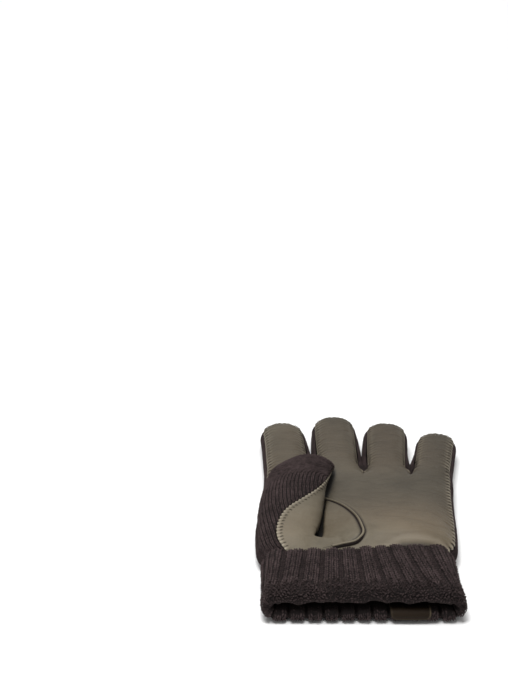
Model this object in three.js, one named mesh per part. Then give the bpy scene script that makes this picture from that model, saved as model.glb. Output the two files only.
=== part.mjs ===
// A left-hand dress glove lying palm up: knitted wool back, leather palm, a thumb of leather and wool
// folded across the palm, and a ribbed wool cuff turned back on itself.
// Millimetres. X runs from the thumb side to the little finger, Y from the wrist to the fingertips, Z up.
import * as THREE from "three";

// Walls, and the narrow gap left along every seam.
const LEATHER_WALL = 1.3;
const KNIT_WALL = 2.2;
const SEAM_GAP = 0.3;

// The four fingers, from the thumb side, with the place and half width of each tip and its height.
const FINGERS = [
  { name: "index", tipX: -42.6, tipY: 231.5, tipHalf: 14.4, height: 17.2 },
  { name: "middle", tipX: -7.4, tipY: 241.0, tipHalf: 14.5, height: 17.6 },
  { name: "ring", tipX: 27.6, tipY: 231.5, tipHalf: 14.0, height: 17.2 },
  { name: "little", tipX: 58.6, tipY: 217.0, tipHalf: 12.9, height: 16.4 },
];
const LAST_FINGER = FINGERS.length - 1;

// The points where two fingers part, with the outer edges of the hand in the same row.
const ROOTS = [
  { x: -54.3, y: 163.0 },
  { x: -23.5, y: 163.0 },
  { x: 7.0, y: 165.0 },
  { x: 36.0, y: 163.5 },
  { x: 62.0, y: 157.0 },
];

// Outer edges, top height and underside of the hand, from inside the cuff to the roots of the fingers.
const HAND = [
  { y: 40.0, left: -53.4, right: 44.4, top: 14.8, base: 3.9 },
  { y: 46.0, left: -53.6, right: 44.5, top: 15.0, base: 3.9 },
  { y: 51.5, left: -57.0, right: 44.9, top: 16.2, base: 3.2 },
  { y: 57.0, left: -59.0, right: 50.2, top: 19.0, base: 0.4 },
  { y: 62.0, left: -59.8, right: 52.0, top: 20.2, base: 0.0 },
  { y: 84.0, left: -60.0, right: 54.6, top: 20.6, base: 0.0 },
  { y: 104.0, left: -58.4, right: 56.2, top: 19.4, base: 0.0 },
  { y: 126.0, left: -56.0, right: 58.2, top: 18.2, base: 0.0 },
  { y: 146.0, left: -54.8, right: 60.4, top: 17.6, base: 0.0 },
  { y: 163.0, left: -54.3, right: 62.0, top: 17.4, base: 0.0 },
];

// Soft swellings and hollows of the leather palm: centre, reach and height.
const MOUNDS = [
  { x: 30.0, y: 66.0, reach: 22.0, height: 2.2 },
  { x: 4.0, y: 108.0, reach: 30.0, height: -1.4 },
  { x: -38.0, y: 126.0, reach: 26.0, height: -5.0 },
];

// The side wall, seen in section: it leans out from the floor and back in to the seam.
const SIDE = { reach: 5.5, middle: 7.0, rise: 6.0, seamAngle: 50 };
const SIDE_ANGLES = [SIDE.seamAngle, 8, -38, -90];

// Length of the rounded end of a finger, the run over which a finger takes its own width, and the
// radius of the notch between two fingers.
const TIP_ROUND = 13.5;
const WIDTH_RUN = 45;
const NOTCH_ROUND = 1.2;

// Flatness of the pillow-like top: 2 is an ellipse, more is flatter with a steeper edge.
const FINGER_CROWN = 2.5;
const PALM_CROWN = 3.4;

// The curved seam that sets the thumb into the palm, from under the cuff to the far side.
const THUMB_SEAM = [
  { x: -20.0, y: 40.0 },
  { x: -9.0, y: 48.5 },
  { x: -1.2, y: 57.5 },
  { x: 0.5, y: 70.0 },
  { x: -2.5, y: 85.0 },
  { x: -10.0, y: 100.5 },
  { x: -21.0, y: 111.0 },
  { x: -37.0, y: 118.5 },
  { x: -54.0, y: 124.5 },
];
const WELT_RADIUS = 0.8;
const WELT_SUNK = 0.3;
const WELT_FROM = 0.06; // shares of the seam between which the welt runs
const WELT_TO = 0.9;

// The thumb in sections from under the cuff to its tip. x, y, z: middle of the section. half, thick: its
// half width and half thickness. roll: how far its palm side is raised. far, seam and fold are angles
// round the section: its far edge, where wool meets leather, and where the leather folds back out to the
// palm. side: where along the hand its wool edge is sewn. sewn: where along the curved seam its leather is.
const THUMB = [
  { x: -36.5, y: 40.4, z: 8.9, half: 16.4, thick: 5.5, roll: 0,
    far: 148, seam: 112, fold: 4, side: 40.4, sewn: 0.1 },
  { x: -36.5, y: 47, z: 8.9, half: 16.8, thick: 5.9, roll: 0,
    far: 150, seam: 112, fold: 2, side: 46, sewn: 0.8 },
  { x: -41.5, y: 60, z: 11.8, half: 18.2, thick: 8.6, roll: 0,
    far: 174, seam: 106, fold: -12, side: 60, sewn: 2.3 },
  { x: -42, y: 80, z: 14.8, half: 18.5, thick: 10, roll: 2,
    far: 184, seam: 88, fold: -42, side: 80, sewn: 3.7 },
  { x: -40, y: 98, z: 19, half: 19.5, thick: 9, roll: 8,
    far: 190, seam: 54, fold: -78, side: 103, sewn: 5.2 },
  { x: -36.5, y: 117, z: 24.2, half: 19.5, thick: 7.4, roll: 9,
    far: 190, seam: 12, fold: -110, side: 121, sewn: 8 },
  { x: -31.5, y: 132, z: 24.8, half: 17.5, thick: 6.8, roll: 6,
    far: 190, seam: 0, fold: -110, side: 121, sewn: 8 },
  { x: -26, y: 143, z: 25, half: 14.2, thick: 6.4, roll: 4,
    far: 190, seam: -4, fold: -110, side: 121, sewn: 8 },
];
const THUMB_TIP = { x: -21.5, y: 154.5, z: 25.0 };
const THUMB_LAST = THUMB.length - 1;
const THUMB_FREE = 5; // the section where the thumb comes away from the palm
const THUMB_EASE = 0.7; // sections over which it draws its own shape after that
const EDGE_STEP = 1.6; // how far the leather's edge lies below the wool's where the thumb comes away
const FOLD_PLACE = 1.55; // the share of the leather, counted from 1 to 2, before its fold
const FOLD_CROWN = 1.6; // how far the leather swells between the fold and the curved seam

// The cuff in rows from its turned front edge to its free edge.
const CUFF = [
  { y: 0.0, middle: -4.4, half: 53.8, top: 18.6 },
  { y: 12.0, middle: -4.5, half: 52.9, top: 19.2 },
  { y: 26.0, middle: -4.6, half: 52.4, top: 19.6 },
  { y: 40.0, middle: -4.5, half: 52.6, top: 19.8 },
  { y: 48.0, middle: -4.4, half: 53.0, top: 20.0 },
];
const RIBS = 23;
const RIB_CROWD = 0.17; // how much wider the ribs are on the upper side, and narrower on the lower side
const RIB_DEPTH = 0.9;
const RIB_STEPS = 4;
const CUFF_LAYER = 2.3; // depth of the outer layer
const CUFF_DOUBLE = 4.6; // depth of both layers
const FOLD_SWELL = 2.2; // how much thicker the upper side is where it turns back
const CUFF_JOIN = 39.6; // where the inner layer meets the hand
const CUFF_SIDE = 8.0; // width of the rounded side
const CUFF_SHOULDER = 0.9; // how far the top falls away to its sides
const CUFF_SLANT = { left: -2.0, right: 3.0 }; // the free edge runs further up on the little finger's side

// The leather tab bent over the front edge of the cuff's lower side.
const TAB = { left: 9.0, right: 29.8, wall: 1.2, inside: 13.0, bend: 3.4, low: 2.6, gap: 0.35 };

const SAME_POINT = 1e-4;

const mix = THREE.MathUtils.lerp;
const radians = THREE.MathUtils.degToRad;
const clamp01 = (t) => Math.min(1, Math.max(0, t));
const smooth = (t) => THREE.MathUtils.smoothstep(t, 0, 1);
const crown = (u, power) => Math.pow(Math.max(0, 1 - Math.pow(Math.abs(u), power)), 1 / power);

// Reads a column of a table at any place by a smooth curve through its rows.
function readTable(table, key, column, at) {
  const last = table.length - 1;
  let row = 0;
  while (row < last - 1 && at > table[row + 1][key]) row++;
  const slope = (i, j) => (table[j][column] - table[i][column]) / (table[j][key] - table[i][key]);
  const [a, b] = [table[row], table[row + 1]];
  const span = b[key] - a[key];
  const slopeA = slope(Math.max(0, row - 1), row + 1);
  const slopeB = slope(row, Math.min(last, row + 2));
  const t = clamp01((at - a[key]) / span);
  const t2 = t * t;
  const t3 = t2 * t;
  return (
    (2 * t3 - 3 * t2 + 1) * a[column] +
    (t3 - 2 * t2 + t) * span * slopeA +
    (3 * t2 - 2 * t3) * b[column] +
    (t3 - t2) * span * slopeB
  );
}

// A sheet is a set of points and four-sided faces that turn counter-clockwise seen from outside.
class Sheet {
  constructor() {
    this.points = [];
    this.faces = [];
    this.places = new Map();
    this.twins = [];
  }
  point(key, make) {
    if (!this.places.has(key)) {
      this.places.set(key, this.points.length);
      this.points.push(make());
    }
    return this.places.get(key);
  }
  grid(rows, columns, at) {
    for (let r = 0; r < rows; r++)
      for (let c = 0; c < columns; c++)
        this.faces.push([at(r, c), at(r, c + 1), at(r + 1, c + 1), at(r + 1, c)]);
  }
  // Points in one place, and points on either side of a seam, share one normal.
  normals() {
    const normals = this.points.map(() => new THREE.Vector3());
    const first = new THREE.Vector3();
    const second = new THREE.Vector3();
    for (const [a, b, c, d] of this.faces) {
      first.subVectors(this.points[c], this.points[a]);
      second.subVectors(this.points[d], this.points[b]);
      first.cross(second);
      for (const corner of [a, b, c, d]) normals[corner].add(first);
    }
    const shared = new Map();
    const together = (key, i) => shared.set(key, (shared.get(key) ?? new THREE.Vector3()).add(normals[i]));
    const keys = this.points.map((p) => p.toArray().map((v) => v.toFixed(3)).join());
    for (const [i, j] of this.twins) keys[j] = keys[i];
    keys.forEach(together);
    return keys.map((key) => shared.get(key).clone().normalize());
  }
}

// Gives some faces of a sheet their wall, inwards, and closes the rim, so that they become one solid.
// A point of the inner side can have a place of its own.
function solidWall(sheet, wall, faces = sheet.faces, ownPlaces = new Map()) {
  const normals = sheet.normals();
  const pushedIn = (p, i) => p.clone().addScaledVector(normals[i], -wall);
  const inner = sheet.points.map((p, i) => ownPlaces.get(i) ?? pushedIn(p, i));
  const all = [...sheet.points, ...inner];
  const shift = sheet.points.length;
  const index = [];
  const same = (i, j) => all[i].distanceTo(all[j]) < SAME_POINT;
  const meets = (i, j, k) => same(i, j) || same(j, k) || same(k, i);
  const quad = (a, b, c, d) => {
    const flat = all[a].distanceTo(all[c]) <= all[b].distanceTo(all[d]);
    const pair = flat ? [[a, b, c], [a, c, d]] : [[a, b, d], [b, c, d]];
    for (const corners of pair) if (!meets(...corners)) index.push(...corners);
  };
  const rim = new Map();
  for (const face of faces) {
    quad(...face);
    quad(...face.map((i) => i + shift).reverse());
    face.forEach((from, i) => {
      const to = face[(i + 1) % 4];
      if (!rim.delete(to + "," + from)) rim.set(from + "," + to, [from, to]);
    });
  }
  for (const [from, to] of rim.values()) quad(to, from, from + shift, to + shift);
  return new THREE.BufferGeometry().setFromPoints(all).setIndex(index);
}

// How a finger's outline runs in at its rounded end, and how the notch between two fingers opens.
const roundEnd = (beyond, length) => Math.sqrt(Math.max(0, 1 - Math.pow(clamp01(beyond / length), 2)));
const openNotch = (along, radius) => Math.sqrt(Math.max(0, 1 - Math.pow(1 - clamp01(along / radius), 2)));

// The axis of a finger: from the middle between its two roots to its tip.
function fingerAxis(number) {
  const [left, right] = [ROOTS[number], ROOTS[number + 1]];
  const root = { x: (left.x + right.x) / 2, y: (left.y + right.y) / 2 };
  const run = { x: FINGERS[number].tipX - root.x, y: FINGERS[number].tipY - root.y };
  const length = Math.hypot(run.x, run.y);
  return {
    root,
    length,
    headX: run.x / length,
    headY: run.y / length,
    rootHalf: (right.x - left.x) / 2,
    rootSlope: (right.y - left.y) / 2,
  };
}

// A point of a finger seen from above. across runs from -1 to 1, along from 0 at the root to 1 at the
// tip, and inset moves the whole outline inwards.
function fingerPlan(number, across, along, inset) {
  const { root, length, headX, headY, rootHalf, rootSlope } = fingerAxis(number);
  const run = along * length;
  const notch = NOTCH_ROUND + inset;
  const share = smooth(clamp01(run / WIDTH_RUN));
  const outer = (number === 0 && across < 0) || (number === LAST_FINGER && across > 0);
  const edge = outer ? inset : notch * openNotch(run, notch) * (1 - share) + inset * share;
  const half = mix(rootHalf, FINGERS[number].tipHalf, share) - edge;
  const sideways = across * half * roundEnd(run - length + TIP_ROUND - inset, TIP_ROUND - inset);
  const forward = run - inset;
  return {
    x: root.x + headX * forward + sideways * mix(1, headY, share),
    y: root.y + headY * forward + sideways * mix(rootSlope / rootHalf, -headX, share),
  };
}

const SEAM_INSET = SIDE.reach * (1 - Math.cos(radians(SIDE.seamAngle)));
const SEAM_HEIGHT = SIDE.middle + SIDE.rise * Math.sin(radians(SIDE.seamAngle));
const handEdge = (side, y) => readTable(HAND, "y", side, y);

// Height of the palm's outer surface over a point seen from above.
function palmHeight(x, y) {
  const left = handEdge("left", y) + SEAM_INSET;
  const right = handEdge("right", y) - SEAM_INSET;
  const u = Math.min(1, Math.abs((2 * x - left - right) / (right - left)));
  let z = SEAM_HEIGHT + (handEdge("top", y) - SEAM_HEIGHT) * crown(u, PALM_CROWN);
  for (const mound of MOUNDS) {
    const away = Math.hypot(x - mound.x, y - mound.y) / mound.reach;
    z += mound.height * Math.exp(-1.6 * away * away) * crown(u, 2) * smooth(clamp01((y - 50) / 12));
  }
  return z;
}

// Height of a finger's palm side.
function fingerHeight(number, across, along) {
  const { length } = fingerAxis(number);
  const closing = clamp01(1 - ((1 - along) * length) / (TIP_ROUND + 2));
  const rise = FINGERS[number].height - SEAM_HEIGHT;
  return SEAM_HEIGHT + rise * crown(across, FINGER_CROWN) * crown(closing, 2.2);
}

// Rows and columns of the hand's mesh: rows along the palm in millimetres, and along a finger as shares
// of its length.
const PALM_ROWS = [40, 46, 51, 55, 60, 68, 78, 88, 97, 104, 109, 114, 119, 125, 132, 140, 148];
const FINGER_ROWS = [0.02, 0.045, 0.09, 0.22, 0.42, 0.62, 0.79, 0.87, 0.93, 0.967, 0.99, 1.0];
const FINGER_COLUMNS = [-1, -0.84, -0.45, 0, 0.45, 0.84, 1];
const COLUMNS = FINGER_COLUMNS.length - 1;
const ROOT_ROW = PALM_ROWS.length;
const ALL_COLUMNS = COLUMNS * FINGERS.length;

// The thumb's seam as a path, and the line beside it where the leather palm ends.
const thumbSeamPath = new THREE.CatmullRomCurve3(THUMB_SEAM.map((p) => new THREE.Vector3(p.x, p.y, 0)));
const SEAM_CLEAR = WELT_RADIUS + SEAM_GAP;
function besideSeam(share, distance) {
  const p = thumbSeamPath.getPoint(share);
  const ahead = thumbSeamPath.getTangent(share);
  return { x: p.x + ahead.y * distance, y: p.y - ahead.x * distance };
}
const PALM_LINE = Array.from({ length: 41 }, (_, i) => besideSeam(i / 40, SEAM_CLEAR));
const PALM_LINE_END = PALM_LINE[PALM_LINE.length - 1].y;

// A point of the palm seen from above, at a column counted over all four fingers.
function palmPlan(column, row, inset, besideThumb) {
  const number = Math.min(LAST_FINGER, Math.floor(column / COLUMNS));
  const root = fingerPlan(number, FINGER_COLUMNS[column - number * COLUMNS], 0, inset);
  if (row === ROOT_ROW) return root;
  const y = PALM_ROWS[row];
  const outerEdge = handEdge("left", y) + inset;
  const cut = besideThumb && y < PALM_LINE_END;
  const left = cut ? Math.max(outerEdge, readTable(PALM_LINE, "y", "x", y)) : outerEdge;
  const right = handEdge("right", y) - inset;
  const rootLeft = fingerPlan(0, -1, 0, inset).x;
  const rootRight = fingerPlan(LAST_FINGER, 1, 0, inset).x;
  const share = (root.x - rootLeft) / (rootRight - rootLeft);
  const lift = (root.y + inset - ROOTS[1].y) * smooth(clamp01((y - 115) / 40));
  return { x: mix(left, right, share), y: y + lift };
}

// The key of each point of the hand, and the point that it stands for, seen from above.
const palmKey = (column, row) => ({ name: `palm,${column},${row}`, column, row });
const fingerKey = (number, column, row) =>
  row === 0
    ? palmKey(number * COLUMNS + column, ROOT_ROW)
    : { name: `finger,${number},${column},${row}`, number, column, row };
function planOf(key, inset, besideThumb) {
  if (key.number === undefined) return palmPlan(key.column, key.row, inset, besideThumb);
  return fingerPlan(key.number, FINGER_COLUMNS[key.column], FINGER_ROWS[key.row - 1], inset);
}

// Lays the hand's faces: the palm as one grid, and each finger as a grid on its own columns.
function layHand(inset, besideThumb, height) {
  const sheet = new Sheet();
  const place = (key) =>
    sheet.point(key.name, () => {
      const p = planOf(key, inset, besideThumb);
      return new THREE.Vector3(p.x, p.y, height(p, key));
    });
  sheet.grid(ROOT_ROW, ALL_COLUMNS, (row, column) => place(palmKey(column, row)));
  FINGERS.forEach((finger, number) =>
    sheet.grid(FINGER_ROWS.length, COLUMNS, (row, column) => place(fingerKey(number, column, row))),
  );
  return sheet;
}

// The hand's outline in order: up the thumb side, round each finger, and down the other side.
function outlineKeys() {
  const keys = [];
  const tip = FINGER_ROWS.length;
  for (let row = 0; row <= ROOT_ROW; row++) keys.push(palmKey(0, row));
  FINGERS.forEach((finger, number) => {
    for (let row = 1; row <= tip; row++) keys.push(fingerKey(number, 0, row));
    for (let column = 1; column < COLUMNS; column++) keys.push(fingerKey(number, column, tip));
    for (let row = tip; row >= 0; row--) keys.push(fingerKey(number, COLUMNS, row));
  });
  for (let row = ROOT_ROW - 1; row >= 0; row--) keys.push(palmKey(ALL_COLUMNS, row));
  return keys;
}

// The inner side of a rim that meets its neighbour along the outline lies level with the outer side.
function levelRim(sheet, names, inset, wall) {
  const ownPlaces = new Map();
  for (const [name, key] of names) {
    const outside = sheet.places.get(name);
    const p = planOf(key, inset + wall, false);
    ownPlaces.set(outside, new THREE.Vector3(p.x, p.y, sheet.points[outside].z));
  }
  return ownPlaces;
}

// The leather palm with the palm side of the four fingers.
function leatherPalm() {
  const sheet = layHand(SEAM_INSET, true, (p, key) => {
    const lift = SEAM_GAP / 2;
    if (key.number !== undefined)
      return fingerHeight(key.number, FINGER_COLUMNS[key.column], FINGER_ROWS[key.row - 1]) + lift;
    const number = Math.min(LAST_FINGER, Math.floor(key.column / COLUMNS));
    const finger = fingerHeight(number, FINGER_COLUMNS[key.column - number * COLUMNS], 0);
    const parting = key.row === ROOT_ROW ? 1 : Math.pow(smooth(clamp01((p.y - 134) / 28)), 1.6);
    return mix(palmHeight(p.x, p.y), finger, parting) + lift;
  });
  const alongThumb = (key) =>
    key.number === undefined && key.column === 0 && PALM_ROWS[key.row] < PALM_LINE_END;
  const rim = outlineKeys().filter((key) => !alongThumb(key));
  const names = rim.map((key) => [key.name, key]);
  return solidWall(sheet, LEATHER_WALL, sheet.faces, levelRim(sheet, names, SEAM_INSET, LEATHER_WALL));
}

// The knitted back of the hand with the sides of the fingers: a tray that the leather closes.
function knittedBack() {
  const base = (y) => Math.max(0, handEdge("base", y));
  const sheet = layHand(SIDE.reach, false, (p) => base(p.y));
  sheet.faces.forEach((face) => face.reverse());
  const keys = outlineKeys();
  const levels = SIDE_ANGLES.map((angle, level) => {
    const inset = SIDE.reach * (1 - Math.cos(radians(angle)));
    const bend = Math.sin(radians(angle)) * (angle > 0 ? SIDE.rise : SIDE.middle);
    const gap = level === 0 ? SEAM_GAP / 2 : 0;
    return keys.map((key) => {
      if (level === SIDE_ANGLES.length - 1) return sheet.places.get(key.name);
      return sheet.point(`side ${level} ${key.name}`, () => {
        const p = planOf(key, inset, false);
        const low = base(p.y);
        const z = low + ((SIDE.middle + bend) * (SEAM_HEIGHT - low)) / SEAM_HEIGHT;
        return new THREE.Vector3(p.x, p.y, z - gap);
      });
    });
  });
  for (let level = 0; level < levels.length - 1; level++) {
    const [upper, lower] = [levels[level], levels[level + 1]];
    for (let i = 0; i < keys.length - 1; i++)
      sheet.faces.push([upper[i], upper[i + 1], lower[i + 1], lower[i]]);
  }
  const names = keys.map((key) => [`side 0 ${key.name}`, key]);
  return solidWall(sheet, KNIT_WALL, sheet.faces, levelRim(sheet, names, SEAM_INSET, KNIT_WALL));
}

// The thumb's section at a place counted in sections. Past the last one it rounds off, and depth is how
// far inside the outer surface the section lies.
const thumbMiddles = [...THUMB, THUMB_TIP].map((s) => new THREE.Vector3(s.x, s.y, s.z));
const thumbAxis = new THREE.CatmullRomCurve3(thumbMiddles);
const THUMB_ROWS_TABLE = THUMB.map((section, number) => ({ ...section, number }));
function thumbSection(place, depth) {
  const read = (column) => readTable(THUMB_ROWS_TABLE, "number", column, Math.min(place, THUMB_LAST));
  const beyond = clamp01(place - THUMB_LAST);
  const closing = crown(beyond, 2);
  const along = thumbAxis.getTangent(place / THUMB.length);
  const centre = thumbAxis.getPoint(place / THUMB.length).addScaledVector(along, -depth * beyond);
  const across = new THREE.Vector3().crossVectors(along, new THREE.Vector3(0, 0, 1)).normalize();
  const up = new THREE.Vector3().crossVectors(across, along);
  const roll = radians(read("roll"));
  return {
    centre,
    wide: across.clone().multiplyScalar(Math.cos(roll)).addScaledVector(up, Math.sin(roll)),
    high: up.clone().multiplyScalar(Math.cos(roll)).addScaledVector(across, -Math.sin(roll)),
    half: (read("half") - depth) * closing,
    thick: (read("thick") - depth) * closing,
    far: read("far"),
    seam: read("seam"),
    fold: read("fold"),
    side: read("side"),
    sewn: read("sewn"),
  };
}

function thumbRing(section, degrees) {
  const angle = radians(degrees);
  return section.centre
    .clone()
    .addScaledVector(section.wide, section.half * Math.cos(angle))
    .addScaledVector(section.high, section.thick * Math.sin(angle));
}

// Where the thumb's wool is sewn to the side of the hand, and its leather to the curved seam.
function woolEdge(section) {
  const x = handEdge("left", section.side) + SEAM_INSET;
  return new THREE.Vector3(x, section.side, SEAM_HEIGHT + SEAM_GAP);
}
function leatherEdge(section) {
  const share = clamp01(section.sewn / (THUMB_SEAM.length - 1));
  const p = besideSeam(share, -SEAM_CLEAR);
  return new THREE.Vector3(p.x, p.y, palmHeight(p.x, p.y));
}

// A point of the thumb: t runs from 0 at the wool's edge to 1 at the seam, and to 2 at the leather's edge.
function thumbPoint(place, t, depth) {
  const section = thumbSection(place, depth);
  const ease = 1 - smooth(clamp01((place - THUMB_FREE) / THUMB_EASE));
  const woolPull = woolEdge(section).sub(thumbRing(section, section.far)).multiplyScalar(ease);
  if (t <= 1) {
    const p = thumbRing(section, mix(section.far, section.seam, t));
    return p.addScaledVector(woolPull, Math.pow(1 - t, 2));
  }
  if (t <= FOLD_PLACE) {
    const towardsFold = (t - 1) / (FOLD_PLACE - 1);
    return thumbRing(section, mix(section.seam, section.fold, towardsFold));
  }
  const out = (t - FOLD_PLACE) / (2 - FOLD_PLACE);
  if (place >= THUMB_FREE) {
    const p = thumbRing(section, mix(section.fold, section.far - 360, out));
    p.x += (KNIT_WALL + SEAM_GAP) * ease * Math.sqrt(out);
    p.z -= EDGE_STEP * ease * out;
    return p.addScaledVector(woolPull, out * out);
  }
  const p = thumbRing(section, section.fold).lerp(leatherEdge(section), out);
  p.z += 4 * out * (1 - out) * FOLD_CROWN;
  return p;
}

// Rows along the thumb, columns round it, and the share left open on either side of a seam.
const THUMB_ROWS = [
  0, 0.6, 1, 1.3, 1.6, 2, 2.5, 3, 3.5, 4, 4.3, 4.55, 4.8, 5, 5.35, 5.7, 6.2, 7, 7.3, 7.6, 7.82, 7.95, 8,
];
const WOOL_SHARES = [0, 0.15, 0.32, 0.49, 0.66, 0.83, 1];
const LEATHER_SHARES = [1, 1.12, 1.25, 1.38, 1.48, FOLD_PLACE, 1.66, 1.78, 1.9, 2];
const SHARE_GAP = 0.006;
const THUMB_DEEP = THUMB_LAST - 0.1; // from here the inner side is a smaller section of its own

function thumbSheet() {
  const sheet = new Sheet();
  sheet.parts = {};
  sheet.shares = [];
  const name = (part, row, column) => `${part} ${row} ${column}`;
  for (const [part, shares] of Object.entries({ wool: WOOL_SHARES, leather: LEATHER_SHARES })) {
    const first = sheet.faces.length;
    sheet.grid(THUMB_ROWS.length - 1, shares.length - 1, (row, column) =>
      sheet.point(name(part, row, column), () => {
        const open = column === 0 ? SHARE_GAP : column === shares.length - 1 ? -SHARE_GAP : 0;
        const share = { place: THUMB_ROWS[row], t: shares[column] + open };
        const leatherEnd = column === shares.length - 1 && share.place >= THUMB_FREE;
        const farEdge = part === "wool" ? column === 0 : leatherEnd;
        sheet.shares.push({ ...share, level: farEdge && share.place < THUMB_FREE + THUMB_EASE });
        return thumbPoint(share.place, share.t, 0);
      }),
    );
    sheet.parts[part] = sheet.faces.slice(first);
  }
  THUMB_ROWS.forEach((place, row) => {
    const at = (part, column) => sheet.places.get(name(part, row, column));
    sheet.twins.push([at("wool", WOOL_SHARES.length - 1), at("leather", 0)]);
    if (place >= THUMB_FREE) sheet.twins.push([at("wool", 0), at("leather", LEATHER_SHARES.length - 1)]);
  });
  return sheet;
}

function thumbPart(part, wall) {
  const sheet = thumbSheet();
  const ownPlaces = new Map();
  sheet.shares.forEach(({ place, t, level }, i) => {
    if (place > THUMB_DEEP) ownPlaces.set(i, thumbPoint(place, t, wall));
    if (level) ownPlaces.set(i, sheet.points[i].clone().add(new THREE.Vector3(wall, 0, 0)));
  });
  return solidWall(sheet, wall, sheet.parts[part], ownPlaces);
}

// The cuff's section at y, as points round it from the middle of the lower side, each with its outward
// direction. The points lie further apart on the upper side, where the cuff is stretched.
function cuffRing(y, count) {
  const read = (column) => readTable(CUFF, "y", column, y);
  const middle = read("middle");
  const [half, top, bottom] = [read("half") - RIB_DEPTH, read("top") - RIB_DEPTH, RIB_DEPTH];
  const flat = half - CUFF_SIDE;
  const side = flat + CUFF_SIDE * 0.6;
  const waist = (top + bottom) / 2 - 0.8;
  const v = (x, z) => new THREE.Vector3(middle + x, y, z);
  const curve = (...points) => new THREE.CubicBezierCurve3(...points);
  const shoulder = top - CUFF_SHOULDER;
  const shape = new THREE.CurvePath();
  shape.add(new THREE.LineCurve3(v(0, bottom), v(flat, bottom)));
  shape.add(curve(v(flat, bottom), v(side, bottom), v(half, waist - 4), v(half, waist)));
  shape.add(curve(v(half, waist), v(half, waist + 4), v(side, shoulder - 0.5), v(flat, shoulder)));
  shape.add(new THREE.QuadraticBezierCurve3(v(flat, shoulder), v(flat / 2, top), v(0, top)));
  shape.add(new THREE.QuadraticBezierCurve3(v(0, top), v(-flat / 2, top), v(-flat, shoulder)));
  shape.add(curve(v(-flat, shoulder), v(-side, shoulder - 0.5), v(-half, waist + 4), v(-half, waist)));
  shape.add(curve(v(-half, waist), v(-half, waist - 4), v(-side, bottom), v(-flat, bottom)));
  shape.add(new THREE.LineCurve3(v(-flat, bottom), v(0, bottom)));
  shape.arcLengthDivisions = 400;
  const stretched = (share) => share - (RIB_CROWD / (2 * Math.PI)) * Math.sin(2 * Math.PI * share);
  return Array.from({ length: count }, (_, i) => {
    const share = stretched(i / count);
    const ahead = shape.getPointAt((share + 0.25 / count) % 1);
    const behind = shape.getPointAt((share - 0.25 / count + 1) % 1);
    const run = ahead.sub(behind).normalize();
    return { point: shape.getPointAt(share), out: new THREE.Vector3(run.z, 0, -run.x) };
  });
}

// The ribbed cuff: outside, rolled front edge, inside, and the step that takes the hand's edge.
function ribbedCuff() {
  const count = RIBS * RIB_STEPS;
  const free = CUFF[CUFF.length - 1].y;
  const profile = [
    { y: free, depth: 0.5, rib: 1 },
    { y: 40, depth: 0, rib: 1 },
    { y: 26, depth: 0, rib: 1 },
    { y: 12, depth: 0, rib: 1 },
    { y: 3, depth: 0, rib: 1 },
    { y: 0.6, depth: 0.9, rib: 1 },
    { y: 0, depth: CUFF_LAYER, rib: 0.8, swell: 0.35 },
    { y: 0.6, depth: CUFF_DOUBLE - 0.9, rib: -0.5, swell: 0.8 },
    { y: 3, depth: CUFF_DOUBLE, rib: -0.5, swell: 1 },
    { y: 8, depth: CUFF_DOUBLE, rib: -0.5, swell: 0.6 },
    { y: 14, depth: CUFF_DOUBLE, rib: -0.5 },
    { y: 26, depth: CUFF_DOUBLE, rib: -0.5 },
    { y: CUFF_JOIN, depth: CUFF_DOUBLE, rib: -0.3 },
    { y: CUFF_JOIN, depth: CUFF_LAYER, rib: 0 },
    { y: free - 0.5, depth: CUFF_LAYER, rib: 0 },
  ];
  const slantAt = (x) => mix(CUFF_SLANT.left, CUFF_SLANT.right, smooth(clamp01((x + 20) / 50)));
  const rings = profile.map((step) =>
    cuffRing(step.y, count).map(({ point, out }, i) => {
      const wave = Math.cos((2 * Math.PI * i) / RIB_STEPS);
      const swell = FOLD_SWELL * (step.swell ?? 0) * Math.max(0, out.z);
      const p = point.clone().addScaledVector(out, wave * RIB_DEPTH * step.rib - step.depth - swell);
      p.y += slantAt(p.x) * clamp01((step.y - CUFF_JOIN) / (free - CUFF_JOIN));
      return p;
    }),
  );
  const index = [];
  rings.forEach((ring, r) => {
    const next = (r + 1) % rings.length;
    for (let i = 0; i < count; i++) {
      const j = (i + 1) % count;
      const [a, b, c, d] = [r * count + i, r * count + j, next * count + j, next * count + i];
      index.push(a, b, c, a, c, d);
    }
  });
  return new THREE.BufferGeometry().setFromPoints(rings.flat()).setIndex(index);
}

// The hem tab: a strip of leather bent over the rolled front edge, drawn from the side.
function hemTab() {
  const { gap, wall, inside, bend, low, left, right } = TAB;
  const rest = RIB_DEPTH + CUFF_DOUBLE + RIB_DEPTH / 2 + gap;
  const front = -RIB_DEPTH * 0.2 - gap;
  const shape = new THREE.Shape();
  shape.moveTo(inside, rest);
  shape.lineTo(bend, rest);
  shape.quadraticCurveTo(front, rest, front, bend);
  shape.lineTo(front, low);
  shape.lineTo(front - wall, low);
  shape.lineTo(front - wall, bend);
  shape.quadraticCurveTo(front - wall, rest + wall, bend, rest + wall);
  shape.lineTo(inside, rest + wall);
  shape.closePath();
  const finish = { depth: right - left, bevelEnabled: false, curveSegments: 6 };
  const strip = new THREE.ExtrudeGeometry(shape, finish);
  strip.rotateX(Math.PI / 2);
  strip.rotateZ(Math.PI / 2);
  strip.translate(left, 0, 0);
  return strip;
}

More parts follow.
